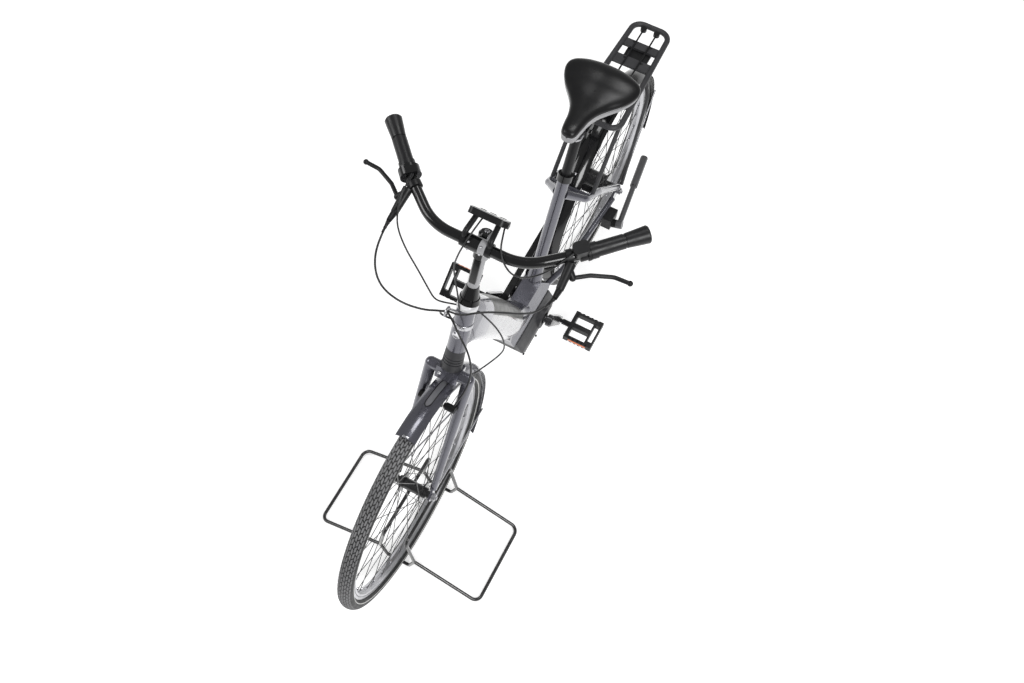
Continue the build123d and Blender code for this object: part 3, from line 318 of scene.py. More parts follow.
def with_zone(material, name, start, end, low, high, colour):
    """Copy of a finish in which a stretch between two points has another colour."""
    made = material.copy()
    made.name = name
    tree = made.node_tree
    shader = next(node for node in tree.nodes if node.type == "BSDF_PRINCIPLED")
    amount = banded(tree, along(tree, start, end), low, high)
    base = shader.inputs["Base Color"].links[0].from_socket
    tree.links.new(blend_colour(tree, amount, base, tuple(colour)), shader.inputs["Base Color"])
    return made


# ------------------------------------------------------------------ mesh helpers

def placed(name, data, body, slot, material=None, smooth=True):
    """Object of a mesh, dressed from a slot; it rides on a body when one is given."""
    for polygon in data.polygons:
        polygon.use_smooth = smooth
    data.materials.append(material or finish(slot))
    made = bpy.data.objects.new(name, data)
    bpy.context.scene.collection.objects.link(made)
    if body:
        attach(made, body)
    return made


def piece(name, mesh, body, slot, material=None, smooth=True):
    """Object from a finished bmesh."""
    data = bpy.data.meshes.new(name)
    mesh.to_mesh(data)
    mesh.free()
    return placed(name, data, body, slot, material, smooth)


def chain_of_points(mesh, points, closed=False):
    """Vertices joined by edges, ready to spin."""
    made = [mesh.verts.new(point) for point in points]
    pairs = list(zip(made, made[1:]))
    if closed:
        pairs.append((made[-1], made[0]))
    return made + [mesh.edges.new(pair) for pair in pairs]


def spun(profile, centre, steps, closed=False):
    """Ring about a wheel's axle from (y, radius) points."""
    mesh = bmesh.new()
    points = [Vector((0, y, radius)) + centre for y, radius in profile]
    geometry = chain_of_points(mesh, points, closed)
    bmesh.ops.spin(mesh, geom=geometry, cent=centre, axis=(0, 1, 0), angle=2 * math.pi, steps=steps,
                   use_merge=True)
    bmesh.ops.remove_doubles(mesh, verts=mesh.verts, dist=1e-6)
    bmesh.ops.recalc_face_normals(mesh, faces=mesh.faces)
    return mesh


def turned(mesh, place, axis, profile, steps=24, closed=False):
    """Adds a turned shape about an axis from (along, radius) points in millimetres."""
    axis = Vector(axis).normalized()
    side = axis.orthogonal().normalized()
    place = Vector(place)
    points = [place + axis * (run * MM) + side * (radius * MM) for run, radius in profile]
    geometry = chain_of_points(mesh, points, closed)
    bmesh.ops.spin(mesh, geom=geometry, cent=place, axis=axis, angle=2 * math.pi, steps=steps, use_merge=True)
    return mesh


def closed_up(mesh):
    """Doubles merged and faces turned outwards."""
    bmesh.ops.remove_doubles(mesh, verts=mesh.verts, dist=1e-6)
    bmesh.ops.dissolve_degenerate(mesh, edges=mesh.edges, dist=1e-7)
    bmesh.ops.recalc_face_normals(mesh, faces=mesh.faces)
    return mesh


def bolt(mesh, place, axis, radius=None, height=3.0):
    """Adds a cap screw with a rounded head and a socket."""
    radius = radius or sizes().bolt_radius / MM
    floor = height * 0.4
    head = [(-2, 0), (-2, radius * 0.8), (0, radius), (height * 0.75, radius), (height, radius * 0.84)]
    socket = [(height, radius * 0.5), (floor, radius * 0.44), (floor, 0)]
    return turned(mesh, place, axis, head + socket)


def block(mesh, place, ahead, up, size, bevel=0.8, segments=2):
    """Adds a block of a size in millimetres with rounded edges, turned to two directions."""
    ahead, up = Vector(ahead).normalized(), Vector(up).normalized()
    turn = Matrix((ahead, up.cross(ahead), up)).transposed().to_4x4()
    turn.translation = Vector(place)
    cube = bmesh.ops.create_cube(mesh, size=1.0)["verts"]
    bmesh.ops.scale(mesh, vec=Vector(size) * MM, verts=cube)
    bmesh.ops.transform(mesh, matrix=turn, verts=cube)
    edges = list({edge for vertex in cube for edge in vertex.link_edges})
    bmesh.ops.bevel(
        mesh, geom=edges, offset=bevel * MM, segments=segments, profile=0.5, affect="EDGES", material=-1
    )
    return mesh


def tube_along(name, points, radius, body, slot, material=None):
    """Smooth tube over the points of a route, closed at both ends."""
    curve = bpy.data.curves.new(name, "CURVE")
    curve.dimensions = "3D"
    curve.bevel_depth = radius
    curve.bevel_resolution = 3
    curve.use_fill_caps = True
    curve.resolution_u = 12
    line = curve.splines.new("NURBS")
    line.points.add(len(points) - 1)
    for place, point in zip(line.points, points):
        place.co = (*point, 1.0)
    line.order_u = 3
    line.use_endpoint_u = True
    holder = bpy.data.objects.new(name + "_route", curve)
    bpy.context.scene.collection.objects.link(holder)
    bpy.context.view_layer.update()
    shaped = holder.evaluated_get(bpy.context.evaluated_depsgraph_get())
    data = bpy.data.meshes.new_from_object(shaped)
    bpy.data.objects.remove(holder)
    data.name = name
    data.materials.clear()
    return placed(name, data, body, slot, material)


# ------------------------------------------------------------------ tyres

CASING = [(12.0, 318.6), (17.0, 322.0), (20.2, 328.0), (20.9, 333.0), (19.5, 337.6), (16.3, 341.5),
          (11.8, 345.4), (6.4, 347.8)]
LINE_BAND = [(19.0, 324.6), (19.9, 326.6), (20.3, 326.4), (19.5, 324.4)]
WHEEL_RADIUS = 0.35
WHEEL_STEPS = 160
CASING_TOP = 0.3486
CROWN_HALF_WIDTH = 0.0204
CROWN_CENTRE = 0.3326
CROWN_RISE = 0.0172
TREAD_ROWS = 7
BLOCK_WIDTH = 0.0047
BLOCK_SHARE = 0.76
BLOCK_SLANT = 0.9
BLOCK_TOP = (0.88, 0.84)
SHOULDER_TILT = math.radians(56)


def tyre_piece(name, centre, body, node):
    """Tyre casing with rows of slanted tread blocks and a light line on each flank."""
    depth = sizes().tread_depth
    count = sizes().tread_blocks
    half = [(y * MM, radius * MM) for y, radius in CASING]
    profile = [*half, (0.0, CASING_TOP), *[(-y, radius) for y, radius in reversed(half)]]
    # Casing at 0.08 of the tread blocks' colour: a dark copy of the same rubber, painted shade in the grooves
    # between the blocks.
    casing = surface("tyre_casing", scaled(colours().tyre, 0.08), 0.6, grain=900.0, bump=0.3, dust=0.01,
                     variation=0.2)
    made = piece(name + "_casing", spun(profile, centre, WHEEL_STEPS, closed=True), body, "tyre", casing)
    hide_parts(node)
    mesh = bmesh.new()
    tile = []
    length = 2 * math.pi * WHEEL_RADIUS / count * BLOCK_SHARE
    middle_row = (TREAD_ROWS - 1) / 2
    for row in range(TREAD_ROWS):
        tilt = (row - middle_row) / middle_row * SHOULDER_TILT
        slant = BLOCK_SLANT if row % 2 else -BLOCK_SLANT
        cube = bmesh.ops.create_cube(mesh, size=1.0)["verts"]
        bmesh.ops.scale(mesh, vec=(length, BLOCK_WIDTH, depth), verts=cube)
        for vertex in cube:
            vertex.co.x += slant * vertex.co.y
        for vertex in cube:
            if vertex.co.z > 0:
                vertex.co.x *= BLOCK_TOP[0]
                vertex.co.y *= BLOCK_TOP[1]
        rise = CROWN_CENTRE + math.cos(tilt) * (CROWN_RISE - depth / 2)
        middle = Vector((0.0, math.sin(tilt) * CROWN_HALF_WIDTH, rise))
        turn = Matrix.Rotation(-tilt, 4, "X")
        forward = length / (2 * WHEEL_RADIUS) if row % 2 else 0.0
        shift = Matrix.Translation(centre) @ Matrix.Rotation(forward, 4, "Y")
        bmesh.ops.transform(mesh, matrix=shift @ Matrix.Translation(middle) @ turn, verts=cube)
        tile.extend(cube)
    faces = {face for vertex in tile for face in vertex.link_faces}
    edges = {edge for vertex in tile for edge in vertex.link_edges}
    bmesh.ops.spin(mesh, geom=[*tile, *edges, *faces], cent=centre, axis=(0, 1, 0),
                   angle=2 * math.pi * (count - 1) / count, steps=count - 1, use_duplicate=True)
    made = piece(name + "_tread", mesh, body, "tyre", smooth=False)
    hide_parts(node)
    line = surface("tyre_line", (0.62, 0.62, 0.6), 0.4, bump=0.2, grain=900.0, dust=0.2)
    for side, mark in ((1, "left"), (-1, "right")):
        band = [(side * y * MM, radius * MM) for y, radius in LINE_BAND]
        piece(f"{name}_line_{mark}", spun(band, centre, WHEEL_STEPS, closed=True), body, "tyre", line)


# ------------------------------------------------------------------ saddle

SADDLE_PLAN = [(0, 0), (3, 13), (14, 20.5), (40, 25), (70, 29), (102, 40), (130, 58), (160, 83), (190, 99),
               (215, 103), (236, 93), (252, 66), (260, 32), (262, 0)]
SADDLE_SPINE = (16.0, 205.0)
SADDLE_DOME = [(0, 14), (60, 15), (130, 20), (200, 21), (262, 22)]
SADDLE_HOLLOW = [(0, 0), (60, 0), (120, 1), (240, 1), (262, 0)]
HOLLOW_DEPTH = 1.4
HOLLOW_WIDTH = 22
COVER_REACHES = (0.997, 0.985, 0.96, 0.92, 0.86, 0.78, 0.68, 0.56, 0.43, 0.3, 0.17, 0.06, 0.0)
COVER_EDGE = ((1.0, 3.0), (0.992, 4.6), (0.97, 4.8))
SKIRT_RINGS = ((0.978, 4.2), (0.985, 9.0), (0.985, 15.0), (0.975, 21.0), (0.96, 25.0), (0.93, 26.5),
               (0.88, 26.0), (0.82, 22.0))
SADDLE_STEPS = 144
DOME_CROWN = 2.7
DOME_EDGE = 2.2
SKIRT_TOP = (0.96, 4.0)
PIPING_REACH = 0.986
PIPING_DROP = 4.6
PIPING_RADIUS = 0.0011
PIPING_STEPS = 96
SADDLE_TOP_LINE = [(0, 9), (30, 5), (80, 6.5), (130, 7.5), (180, 4), (225, 0), (262, 3)]


def between(points, place):
    """Smooth value between listed places."""
    place = min(max(place, points[0][0]), points[-1][0])
    for (x0, y0), (x1, y1) in zip(points, points[1:]):
        if place <= x1:
            share = (place - x0) / (x1 - x0)
            return y0 + (y1 - y0) * share * share * (3 - 2 * share)
    return points[-1][1]


def rounded_through(points, share):
    """Point on a smooth line through listed points, at a share of their number."""
    place = min(max(share, 0.0), 1.0) * (len(points) - 1)
    number = min(int(place), len(points) - 2)
    part = place - number
    around = [points[min(max(number + step, 0), len(points) - 1)] for step in (-1, 0, 1, 2)]
    result = []
    for p0, p1, p2, p3 in zip(*around):
        result.append(0.5 * (2 * p1 + (p2 - p0) * part + (2 * p0 - 5 * p1 + 4 * p2 - p3) * part * part
                             + (3 * p1 - p0 - 3 * p2 + p3) * part**3))
    return result


def saddle_ring(nose, top, turn, reach, drop):
    """Point of the saddle at a share round its plan, a reach from its middle line and a drop."""
    side = 1 if turn <= 0.5 else -1
    run, half = rounded_through(SADDLE_PLAN, 2 * turn if turn <= 0.5 else 2 * (1 - turn))
    spine = min(max(run, SADDLE_SPINE[0]), SADDLE_SPINE[1])
    run = spine + (run - spine) * reach
    dome = between(SADDLE_DOME, run)
    fall = dome * (1 - (1 - reach**DOME_CROWN) ** (1 / DOME_EDGE)) if reach < 1 else dome
    across = half * reach
    hollow = HOLLOW_DEPTH * math.exp(-(across / HOLLOW_WIDTH) ** 2) * between(SADDLE_HOLLOW, run)
    below = between(SADDLE_TOP_LINE, run) + fall + hollow + drop
    return Vector((nose - run * MM, side * across * MM, top - below * MM))


def first_ring(high, reach, drop):
    """New mesh with one ring of the saddle, whose vertices keep their share round the plan in a layer."""
    mesh = bmesh.new()
    place = mesh.verts.layers.float.new("place")
    bmesh.ops.create_circle(mesh, segments=SADDLE_STEPS, radius=1.0)
    for number, vertex in enumerate(mesh.verts):
        vertex[place] = number / SADDLE_STEPS
        vertex.co = saddle_ring(high.x, high.z, vertex[place], reach, drop)
    return mesh, place


def saddle_piece():
    """Padded saddle: crowned cover with a narrow nose, a skirt turned under it and a piping between."""
    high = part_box("saddle")[1]
    cover, place = first_ring(high, 1.0, 0.0)
    rim = list(cover.edges)
    edges = rim
    for reach in COVER_REACHES:
        edges = grown_ring(cover, edges, place, high, reach, 0.0)
    edges = rim
    for reach, drop in COVER_EDGE:
        edges = grown_ring(cover, edges, place, high, reach, drop)
    made = piece("saddle_cover", closed_up(cover), "frame", "saddle_skin")
    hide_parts("saddle")

    skirt, place = first_ring(high, *SKIRT_TOP)
    edges = list(skirt.edges)
    for reach, drop in SKIRT_RINGS:
        edges = grown_ring(skirt, edges, place, high, reach, drop)
    bmesh.ops.holes_fill(skirt, edges=[edge for edge in skirt.edges if edge.is_boundary])
    # Skirt band: a grey part, lightened as a painted highlight on the saddle's flank.
    band = surface("saddle_band", colours().saddle_skirt, 0.38, grain=1200.0, bump=0.1, dust=0.03)
    piece("saddle_skirt", closed_up(skirt), "frame", "saddle_skin", band)

    shares = [number / PIPING_STEPS for number in range(1, PIPING_STEPS)]
    points = [saddle_ring(high.x, high.z, share, PIPING_REACH, PIPING_DROP) for share in shares]
    line = surface("saddle_piping", scaled(colours().saddle_skirt, 1.5), 0.35, bump=0.05)
    tube_along("saddle_piping", points, PIPING_RADIUS, "frame", "saddle_skin", line)


def grown_ring(mesh, edges, place, high, reach, drop):
    """Extrudes a ring of edges and puts it at a reach and a drop on the saddle."""
    grown = bmesh.ops.extrude_edge_only(mesh, edges=edges)["geom"]
    for item in grown:
        if isinstance(item, bmesh.types.BMVert):
            item.co = saddle_ring(high.x, high.z, item[place], reach, drop)
    return [item for item in grown if isinstance(item, bmesh.types.BMEdge) and item.is_boundary]


# ------------------------------------------------------------------ hoses and cables

ROUTES = {
    "front_brake_hose_upper": ("steering", 0.0025, "brake_hoses", [
        (0.2713, -0.203, 1.0601), (0.3133, -0.206, 1.0371), (0.3473, -0.202, 0.9871),
        (0.3613, -0.182, 0.9291), (0.3556, -0.138, 0.8853), (0.3396, -0.086, 0.8673),
        (0.3226, -0.05, 0.8686), (0.3163, -0.033, 0.8674)]),
    "front_brake_hose_lower": ("frame", 0.0025, "brake_hoses", [
        (0.3163, -0.033, 0.8674), (0.3296, -0.01, 0.8583), (0.3456, 0.012, 0.8443),
        (0.3576, 0.044, 0.8073), (0.3716, 0.062, 0.7533), (0.3876, 0.062, 0.7013),
        (0.4056, 0.054, 0.6633), (0.4276, 0.044, 0.6353)]),
    "rear_brake_hose": ("steering", 0.0025, "brake_hoses", [
        (0.2713, 0.203, 1.0601), (0.2993, 0.184, 1.0271), (0.2973, 0.14, 0.9771),
        (0.2913, 0.092, 0.9331), (0.2976, 0.044, 0.9033), (0.3196, 0.002, 0.8833),
        (0.3116, -0.036, 0.8633), (0.3096, -0.06, 0.8373), (0.2996, -0.056, 0.8013),
        (0.2876, -0.024, 0.7873)]),
    "shifter_cable": ("steering", 0.002, "bar_cables", [
        (0.1693, -0.201, 1.1121), (0.1973, -0.197, 1.1131), (0.2253, -0.197, 1.1011),
        (0.2493, -0.193, 1.0761), (0.2683, -0.185, 1.0431), (0.2853, -0.156, 1.0011),
        (0.2993, -0.118, 0.9631), (0.3113, -0.086, 0.9251), (0.3116, -0.07, 0.8873),
        (0.2956, -0.054, 0.8613), (0.2806, -0.026, 0.8513)]),
    "lamp_cable": ("frame", 0.002, "bar_cables", [
        (0.2696, 0.021, 0.8473), (0.2746, 0.06, 0.8353), (0.2776, 0.092, 0.7973),
        (0.2736, 0.1, 0.7413), (0.2696, 0.088, 0.6853), (0.2836, 0.066, 0.6413),
        (0.3156, 0.048, 0.6313), (0.3416, 0.042, 0.6493), (0.3616, 0.038, 0.6723)]),
    "display_cable": ("steering", 0.002, "display_cables", [
        (0.1933, -0.01, 1.1136), (0.2233, -0.012, 1.1141), (0.2553, -0.018, 1.0981),
        (0.2753, -0.028, 1.0621), (0.2813, -0.036, 1.0161), (0.2833, -0.032, 0.9701),
        (0.2943, -0.017, 0.9151), (0.3047, -0.008, 0.8713)]),
    "pod_cable": (None, 0.002, "display_cables", [
        (0.1953, 0.042, 1.1121), (0.2173, 0.048, 1.1041), (0.2413, 0.056, 1.0991),
        (0.2603, 0.074, 1.0801), (0.2613, 0.098, 1.0521), (0.2453, 0.126, 1.0421),
        (0.2253, 0.152, 1.0521), (0.2123, 0.171, 1.0731), (0.2023, 0.185, 1.0941),
        (0.1863, 0.196, 1.1051), (0.1713, 0.203, 1.1081)]),
}
HOSE_SLEEVE = [(-1, 0), (-1, 4.6), (6, 5.0), (8, 4.2), (16, 3.6), (17, 3.9), (19, 3.9), (20, 3.1), (30, 2.9),
               (31, 0)]
SLEEVED_ROUTES = ("front_brake_hose_upper", "rear_brake_hose", "shifter_cable")


def cables():
    """Smooth hoses and cables; those listed with a starting body are baked in place on no body, the other rides on
    the steering.
    """
    for name, (start_body, radius, node, points) in ROUTES.items():
        if start_body is None:
            made = tube_along(name, points, radius, "steering", "cable_black")
        else:
            made = tube_along(name, points, radius, None, "cable_black")
            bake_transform(made)
        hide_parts(node)
    mesh = bmesh.new()
    for name in SLEEVED_ROUTES:
        points = [Vector(point) for point in ROUTES[name][3][:2]]
        turned(mesh, points[0], points[1] - points[0], HOSE_SLEEVE)
    piece("hose_sleeves", closed_up(mesh), "steering", "black_plastic")


# ------------------------------------------------------------------ trim

HEAD_RING_UP = 590.6
BEARING_COVER_UP = 607.2
HEAD_RING = [(0, 25.5), (0, 25.85), (16.8, 25.85), (16.8, 25.5)]
BEARING_COVER = [(0, 15.0), (0, 25.4), (1.2, 25.0), (2.2, 22.0), (2.2, 15.0)]


def head_trim():
    """Blank ring on the head tube and the cover of the bearing above it."""
    ring = bmesh.new()
    turned(ring, on_steering(0, 0, HEAD_RING_UP), STEER_UP, HEAD_RING, steps=64, closed=True)
    white = surface("blank_ring", (0.78, 0.78, 0.8), 0.35, coat=0.3, variation=0.03, bump=0.02)
    piece("head_ring", closed_up(ring), "frame", "frame_paint", white)
    seat = bmesh.new()
    turned(seat, on_steering(0, 0, BEARING_COVER_UP), STEER_UP, BEARING_COVER, steps=48, closed=True)
    piece("head_bearing_cover", closed_up(seat), "frame", "black_plastic")


FENDER_OUTER = 362.0
FENDER_BEND = 39.6
FENDER_END = 88.0
WINDOW_ANGLES = (103.6, 120.4)
WINDOW_HALF_WIDTH = 8.4
WINDOW_END_SHARE = 0.2
WINDOW_END_WIDTH = 0.02
WINDOW_STEPS = 24
WINDOW_COLUMNS = (-1, -0.5, 0, 0.5, 1)
WINDOW_LIFT = -0.45
WINDOW_THICKNESS = 0.0003
WINDOW_RIM_RADIUS = 0.0011
CLIP_PLACE = (FENDER_END + 0.55, 0.0, 0.2)
CLIP_SIZE = (5.0, 16.0, 2.4)


def fender_trim():
    """Long rounded window with a dark rim on the front fender, and the clip at the fender's front end."""
    def on_fender(angle, left, lift):
        drop = FENDER_BEND - math.sqrt(FENDER_BEND**2 - left**2)
        reach = (FENDER_OUTER - drop + lift) * MM
        angle = math.radians(angle)
        return FRONT_AXLE + Vector((math.cos(angle) * reach, left * MM, math.sin(angle) * reach))

    panel = bmesh.new()
    rows = []
    for step in range(WINDOW_STEPS + 1):
        share = step / WINDOW_STEPS
        angle = WINDOW_ANGLES[0] + (WINDOW_ANGLES[1] - WINDOW_ANGLES[0]) * share
        ends = min(share, 1 - share) / WINDOW_END_SHARE
        width = 1.0 if ends >= 1 else math.sqrt(max(0.0, 1 - (1 - ends) ** 2)) + WINDOW_END_WIDTH
        half = WINDOW_HALF_WIDTH * width
        row = [on_fender(angle, half * side, WINDOW_LIFT) for side in WINDOW_COLUMNS]
        rows.append([panel.verts.new(point) for point in row])
    for first, second in zip(rows, rows[1:]):
        for number in range(len(WINDOW_COLUMNS) - 1):
            panel.faces.new((first[number], first[number + 1], second[number + 1], second[number]))
    rim = [row[-1].co.copy() for row in rows] + [row[0].co.copy() for row in reversed(rows)]
    rim.append(rim[0])
    bmesh.ops.recalc_face_normals(panel, faces=panel.faces)
    bmesh.ops.solidify(panel, geom=panel.faces, thickness=WINDOW_THICKNESS)
    pale = surface("fender_window", (0.2, 0.2, 0.215), 0.35, metallic=0.3, coat=0.4, bump=0.02)
    piece("fender_window", closed_up(panel), "steering", "frame_paint", pale)
    tube_along("fender_window_rim", rim, WINDOW_RIM_RADIUS, "steering", "black_plastic")
    clip = bmesh.new()
    end = math.radians(FENDER_END)
    ahead = Vector((math.sin(end), 0, -math.cos(end)))
    up = Vector((math.cos(end), 0, math.sin(end)))
    block(clip, on_fender(*CLIP_PLACE), ahead, up, CLIP_SIZE, bevel=0.9)
    piece("fender_end_clip", closed_up(clip), "steering", "chrome")


BADGE = [(0, 0), (0, 10.6), (3.6, 10.6), (4.3, 10.0), (4.3, 9.0), (3.9, 8.4), (4.0, 0)]
BADGE_PLACE = (21.0, 0, 517)
GUIDE_BAND = [(0, 24.0), (0, 25.0), (1.5, 25.5), (11.5, 25.5), (13, 25.0), (13, 24.0)]
GUIDE_BAND_UP = 534
GUIDE_BAND_BOLT = (25.2, 6, GUIDE_BAND_UP + 6.5)


def badge_trim():
    """Blank round badge and the clamp band of the cable guide on the head tube."""
    badge = bmesh.new()
    turned(badge, on_steering(*BADGE_PLACE), STEER_AHEAD, BADGE, steps=48)
    piece("head_badge", closed_up(badge), "frame", "chrome")
    band = bmesh.new()
    turned(band, on_steering(0, 0, GUIDE_BAND_UP), STEER_UP, GUIDE_BAND, steps=64, closed=True)
    bolt(band, on_steering(*GUIDE_BAND_BOLT), STEER_AHEAD, radius=3.4, height=2.4)
    piece("guide_band", closed_up(band), "frame", "steel")


MERGE_DISTANCE = 2e-6
FLAT_ANGLE = math.radians(1.5)
CORNER_ANGLE = math.radians(28)
SMOOTH_ANGLE = math.radians(35)
ROUNDING_STEPS = 4


def rounded_node(node, body, slot, amount):
    """A node's shape with its flat faces joined and its edges rounded, in the node's place."""
    mesh = bmesh.new()
    mesh.from_mesh(frame["nodes"][node].data)
    bmesh.ops.remove_doubles(mesh, verts=mesh.verts, dist=MERGE_DISTANCE)
    bmesh.ops.dissolve_limit(mesh, angle_limit=FLAT_ANGLE, verts=mesh.verts, edges=mesh.edges)
    joined = [edge for edge in mesh.edges if len(edge.link_faces) == 2]
    sharp = [edge for edge in joined if edge.calc_face_angle(0.0) > CORNER_ANGLE]
    bmesh.ops.bevel(
        mesh, geom=sharp, offset=amount * MM, segments=ROUNDING_STEPS, profile=0.5, affect="EDGES",
        material=-1, clamp_overlap=True,
    )
    bmesh.ops.triangulate(mesh, faces=mesh.faces)
    made = piece(node + "_rounded", closed_up(mesh), body, slot, smooth=False)
    for polygon in made.data.polygons:
        polygon.use_smooth = True
    made.data.set_sharp_from_angle(angle=SMOOTH_ANGLE)
    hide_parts(node)


END_CAP = [(-2, 0), (-2, 12.0), (1.6, 12.4), (2.6, 11.0), (3.2, 6.0), (2.4, 5.0), (2.4, 0)]
STEM_PANEL_PLACE = (12.9, 0, 700)
STEM_PANEL_SIZE = (5.0, 17.0, 66.0)
CLAMP_SCREW_AHEAD = 62.5
CLAMP_SCREW_SIDES = (-15, 15)
CLAMP_SCREW_UPS = (786, 806)
STEERER_SCREW_UP = 805
BAR_END = (-187, 316, 26)
BAR_BEND = (-75, 205, 13)


def stem_trim():
    """Dark panel down the front of the stem, its clamp screws and the bar's end caps."""
    panel = bmesh.new()
    block(panel, on_steering(*STEM_PANEL_PLACE), STEER_AHEAD, STEER_UP, STEM_PANEL_SIZE, bevel=2.2,
          segments=3)
    piece("stem_panel", closed_up(panel), "steering", "gloss_black")
    screws = bmesh.new()
    for left in CLAMP_SCREW_SIDES:
        for up in CLAMP_SCREW_UPS:
            bolt(screws, on_steering(CLAMP_SCREW_AHEAD, left, up), STEER_AHEAD, radius=2.6, height=2.4)
    bolt(screws, on_steering(0, 0, STEERER_SCREW_UP), STEER_UP, radius=6.0, height=2.6)
    piece("stem_screws", closed_up(screws), "steering", "steel")
    caps = bmesh.new()
    for side in (-1, 1):
        outer = from_bar(BAR_END[0], side * BAR_END[1], BAR_END[2])
        run = outer - from_bar(BAR_BEND[0], side * BAR_BEND[1], BAR_BEND[2])
        turned(caps, outer, run, END_CAP, steps=32)
    piece("bar_end_caps", closed_up(caps), "steering", "black_plastic")


DISPLAY_TILT = math.radians(55)
DISPLAY_PLACE = (-34, 2, 65)
DISPLAY_DROP = 0.03
DISPLAY_FACE = 0.0075
BEZEL_SIZE = (56.0, 84.0, 1.4)
BEZEL_LIFT = 0.0003
GLASS_SIZE = (40.0, 74.0, 1.0)
GLASS_LIFT = 0.0011
GLASS_RISE = 0.005
KEY_SIZE = (6.0, 15.0, 1.4)
KEY_LIFT = 0.0012
KEY_DROP = 0.0215
KEY_SIDES = (-24, 0, 24)


def display_trim():
    """Screen, its bezel and three buttons on the display's face."""
    normal = Vector((-math.sin(DISPLAY_TILT), 0, math.cos(DISPLAY_TILT)))
    rise = Vector((math.cos(DISPLAY_TILT), 0, math.sin(DISPLAY_TILT)))
    face = from_bar(*DISPLAY_PLACE) - rise * DISPLAY_DROP + normal * DISPLAY_FACE
    bezel = bmesh.new()
    block(bezel, face + normal * BEZEL_LIFT, rise, normal, BEZEL_SIZE, bevel=0.6)
    piece("display_bezel", closed_up(bezel), "steering", "gloss_black",
          surface("display_bezel", (0.42, 0.42, 0.43), 0.3, coat=0.6, bump=0.03))
    glass = bmesh.new()
    block(glass, face + normal * GLASS_LIFT + rise * GLASS_RISE, rise, normal, GLASS_SIZE, bevel=0.4)
    piece("display_glass", closed_up(glass), "steering", "gloss_black",
          surface("display_glass", (0.02, 0.025, 0.022), 0.06, coat=1.0, bump=0.0, spread_rough=0.01))
    keys = bmesh.new()
    for left in KEY_SIDES:
        place = face + normal * KEY_LIFT - rise * KEY_DROP + ACROSS * left * MM
        block(keys, place, rise, normal, KEY_SIZE, bevel=0.6)
    piece("display_keys", closed_up(keys), "steering", "black_plastic")


CROWN_BOLTS = ((0.3903, -0.015, 0.699), (0.3803, 0.0, 0.678))


def crown_trim():
    """Two bright bolts at the crown."""
    bolts = bmesh.new()
    for place in CROWN_BOLTS:
        bolt(bolts, Vector(place), STEER_AHEAD, radius=4.6, height=3.5)
    piece("crown_bolts", closed_up(bolts), "steering", "chrome")


PEDAL_OUT = 0.163
RIGHT_PEDAL_TILT = math.radians(38.0)
REFLECTOR_AHEAD = 0.0486
REFLECTOR_SIZE = (4.4, 58.0, 8.0)


def pedal_trim():
    """Orange reflectors at the front and the back of both pedals."""
    orange = surface("pedal_reflector", colours().reflector, 0.12, coat=1.0, grain=1500.0, bump=0.5,
                     grain_kind="TexVoronoi", variation=0.05)
    for name, side, tilt in (("pedal_left", 1, 0.0), ("pedal_right", -1, RIGHT_PEDAL_TILT)):
        joint = next(item for item in frame["joints"] if item["name"] == name + "_spin")
        centre = Vector(joint["pos_m"])
        centre.y = side * PEDAL_OUT
        ahead = Vector((math.cos(tilt), 0, -math.sin(tilt)))
        up = Vector((math.sin(tilt), 0, math.cos(tilt)))
        mesh = bmesh.new()
        for way in (-1, 1):
            block(mesh, centre + ahead * (way * REFLECTOR_AHEAD), ahead * way, up, REFLECTOR_SIZE, bevel=1.0)
        piece(name + "_reflectors", closed_up(mesh), name, "black_plastic", orange)


SPOKES = 36
VALVE_ANGLE = 2.2
VALVE_FOOT = 0.262
VALVE = [(0, 0), (0, 2.2), (2, 3.0), (10, 3.0), (11, 2.6), (20, 2.6), (21, 4.2), (24, 4.2), (25, 3.2),
         (38, 3.2), (38, 0)]
NIPPLE_FOOT = 0.2905
NIPPLE = [(0, 0), (0, 1.5), (1, 1.9), (9, 1.9), (9, 0)]
RIM_LINE = [(11.9, 309.0), (12.15, 309.2), (12.15, 311.0), (11.9, 311.2)]


def wheel_trim():
    """Valve and spoke nipples of both wheels, and a line round each rim."""
    for name, centre, body in (("front", FRONT_AXLE, "front_wheel"), ("rear", REAR_AXLE, "rear_wheel")):
        valve = bmesh.new()
        away = Vector((math.cos(VALVE_ANGLE), 0, math.sin(VALVE_ANGLE)))
        turned(valve, centre + away * VALVE_FOOT, away, VALVE, steps=16)
        piece(name + "_valve", closed_up(valve), body, "black_plastic")
        nipples = bmesh.new()
        for number in range(SPOKES):
            angle = 2 * math.pi * number / SPOKES
            out = Vector((math.cos(angle), 0, math.sin(angle)))
            turned(nipples, centre + out * NIPPLE_FOOT, out, NIPPLE, steps=8)
        piece(name + "_nipples", closed_up(nipples), body, "chrome")
        line = bmesh.new()
        for side in (1, -1):
            turned(line, centre, ACROSS * side, RIM_LINE, steps=120, closed=True)
        dark = surface("rim_line", (0.12, 0.12, 0.125), 0.5)
        piece(name + "_rim_lines", closed_up(line), body, "rim_alloy", dark)


BRACKET_BEHIND_MIDDLE = 0.0797
COVER_SIDE = 0.0585
COVER_ROUNDING = 5.0
COVER_SCREWS = ((120.0, 262.0), (-45.0, 300.0), (36.0, 236.0))


def motor_trim():
    """Screws of the left motor cover, and its edges rounded."""
    screws = bmesh.new()
    for ahead, up in COVER_SCREWS:
        place = Vector((ahead * MM - BRACKET_BEHIND_MIDDLE, COVER_SIDE, up * MM))
        bolt(screws, place, ACROSS, radius=3.6, height=2.6)
    piece("motor_cover_screws", closed_up(screws), "frame", "black_plastic")
    rounded_node("motor_cover_left", "frame", "dark_grey_plastic", COVER_ROUNDING)


TRAY_SIZE = (88.0, 72.0, 12.0)
TRAY_AHEAD = 0.114
TRAY_DROP = 0.0215
TRAY_BOLTS_AHEAD = (0.081, 0.147)
TRAY_BOLT_SIDES = (-26, 26)
TRAY_BOLT_DROP = 0.0062


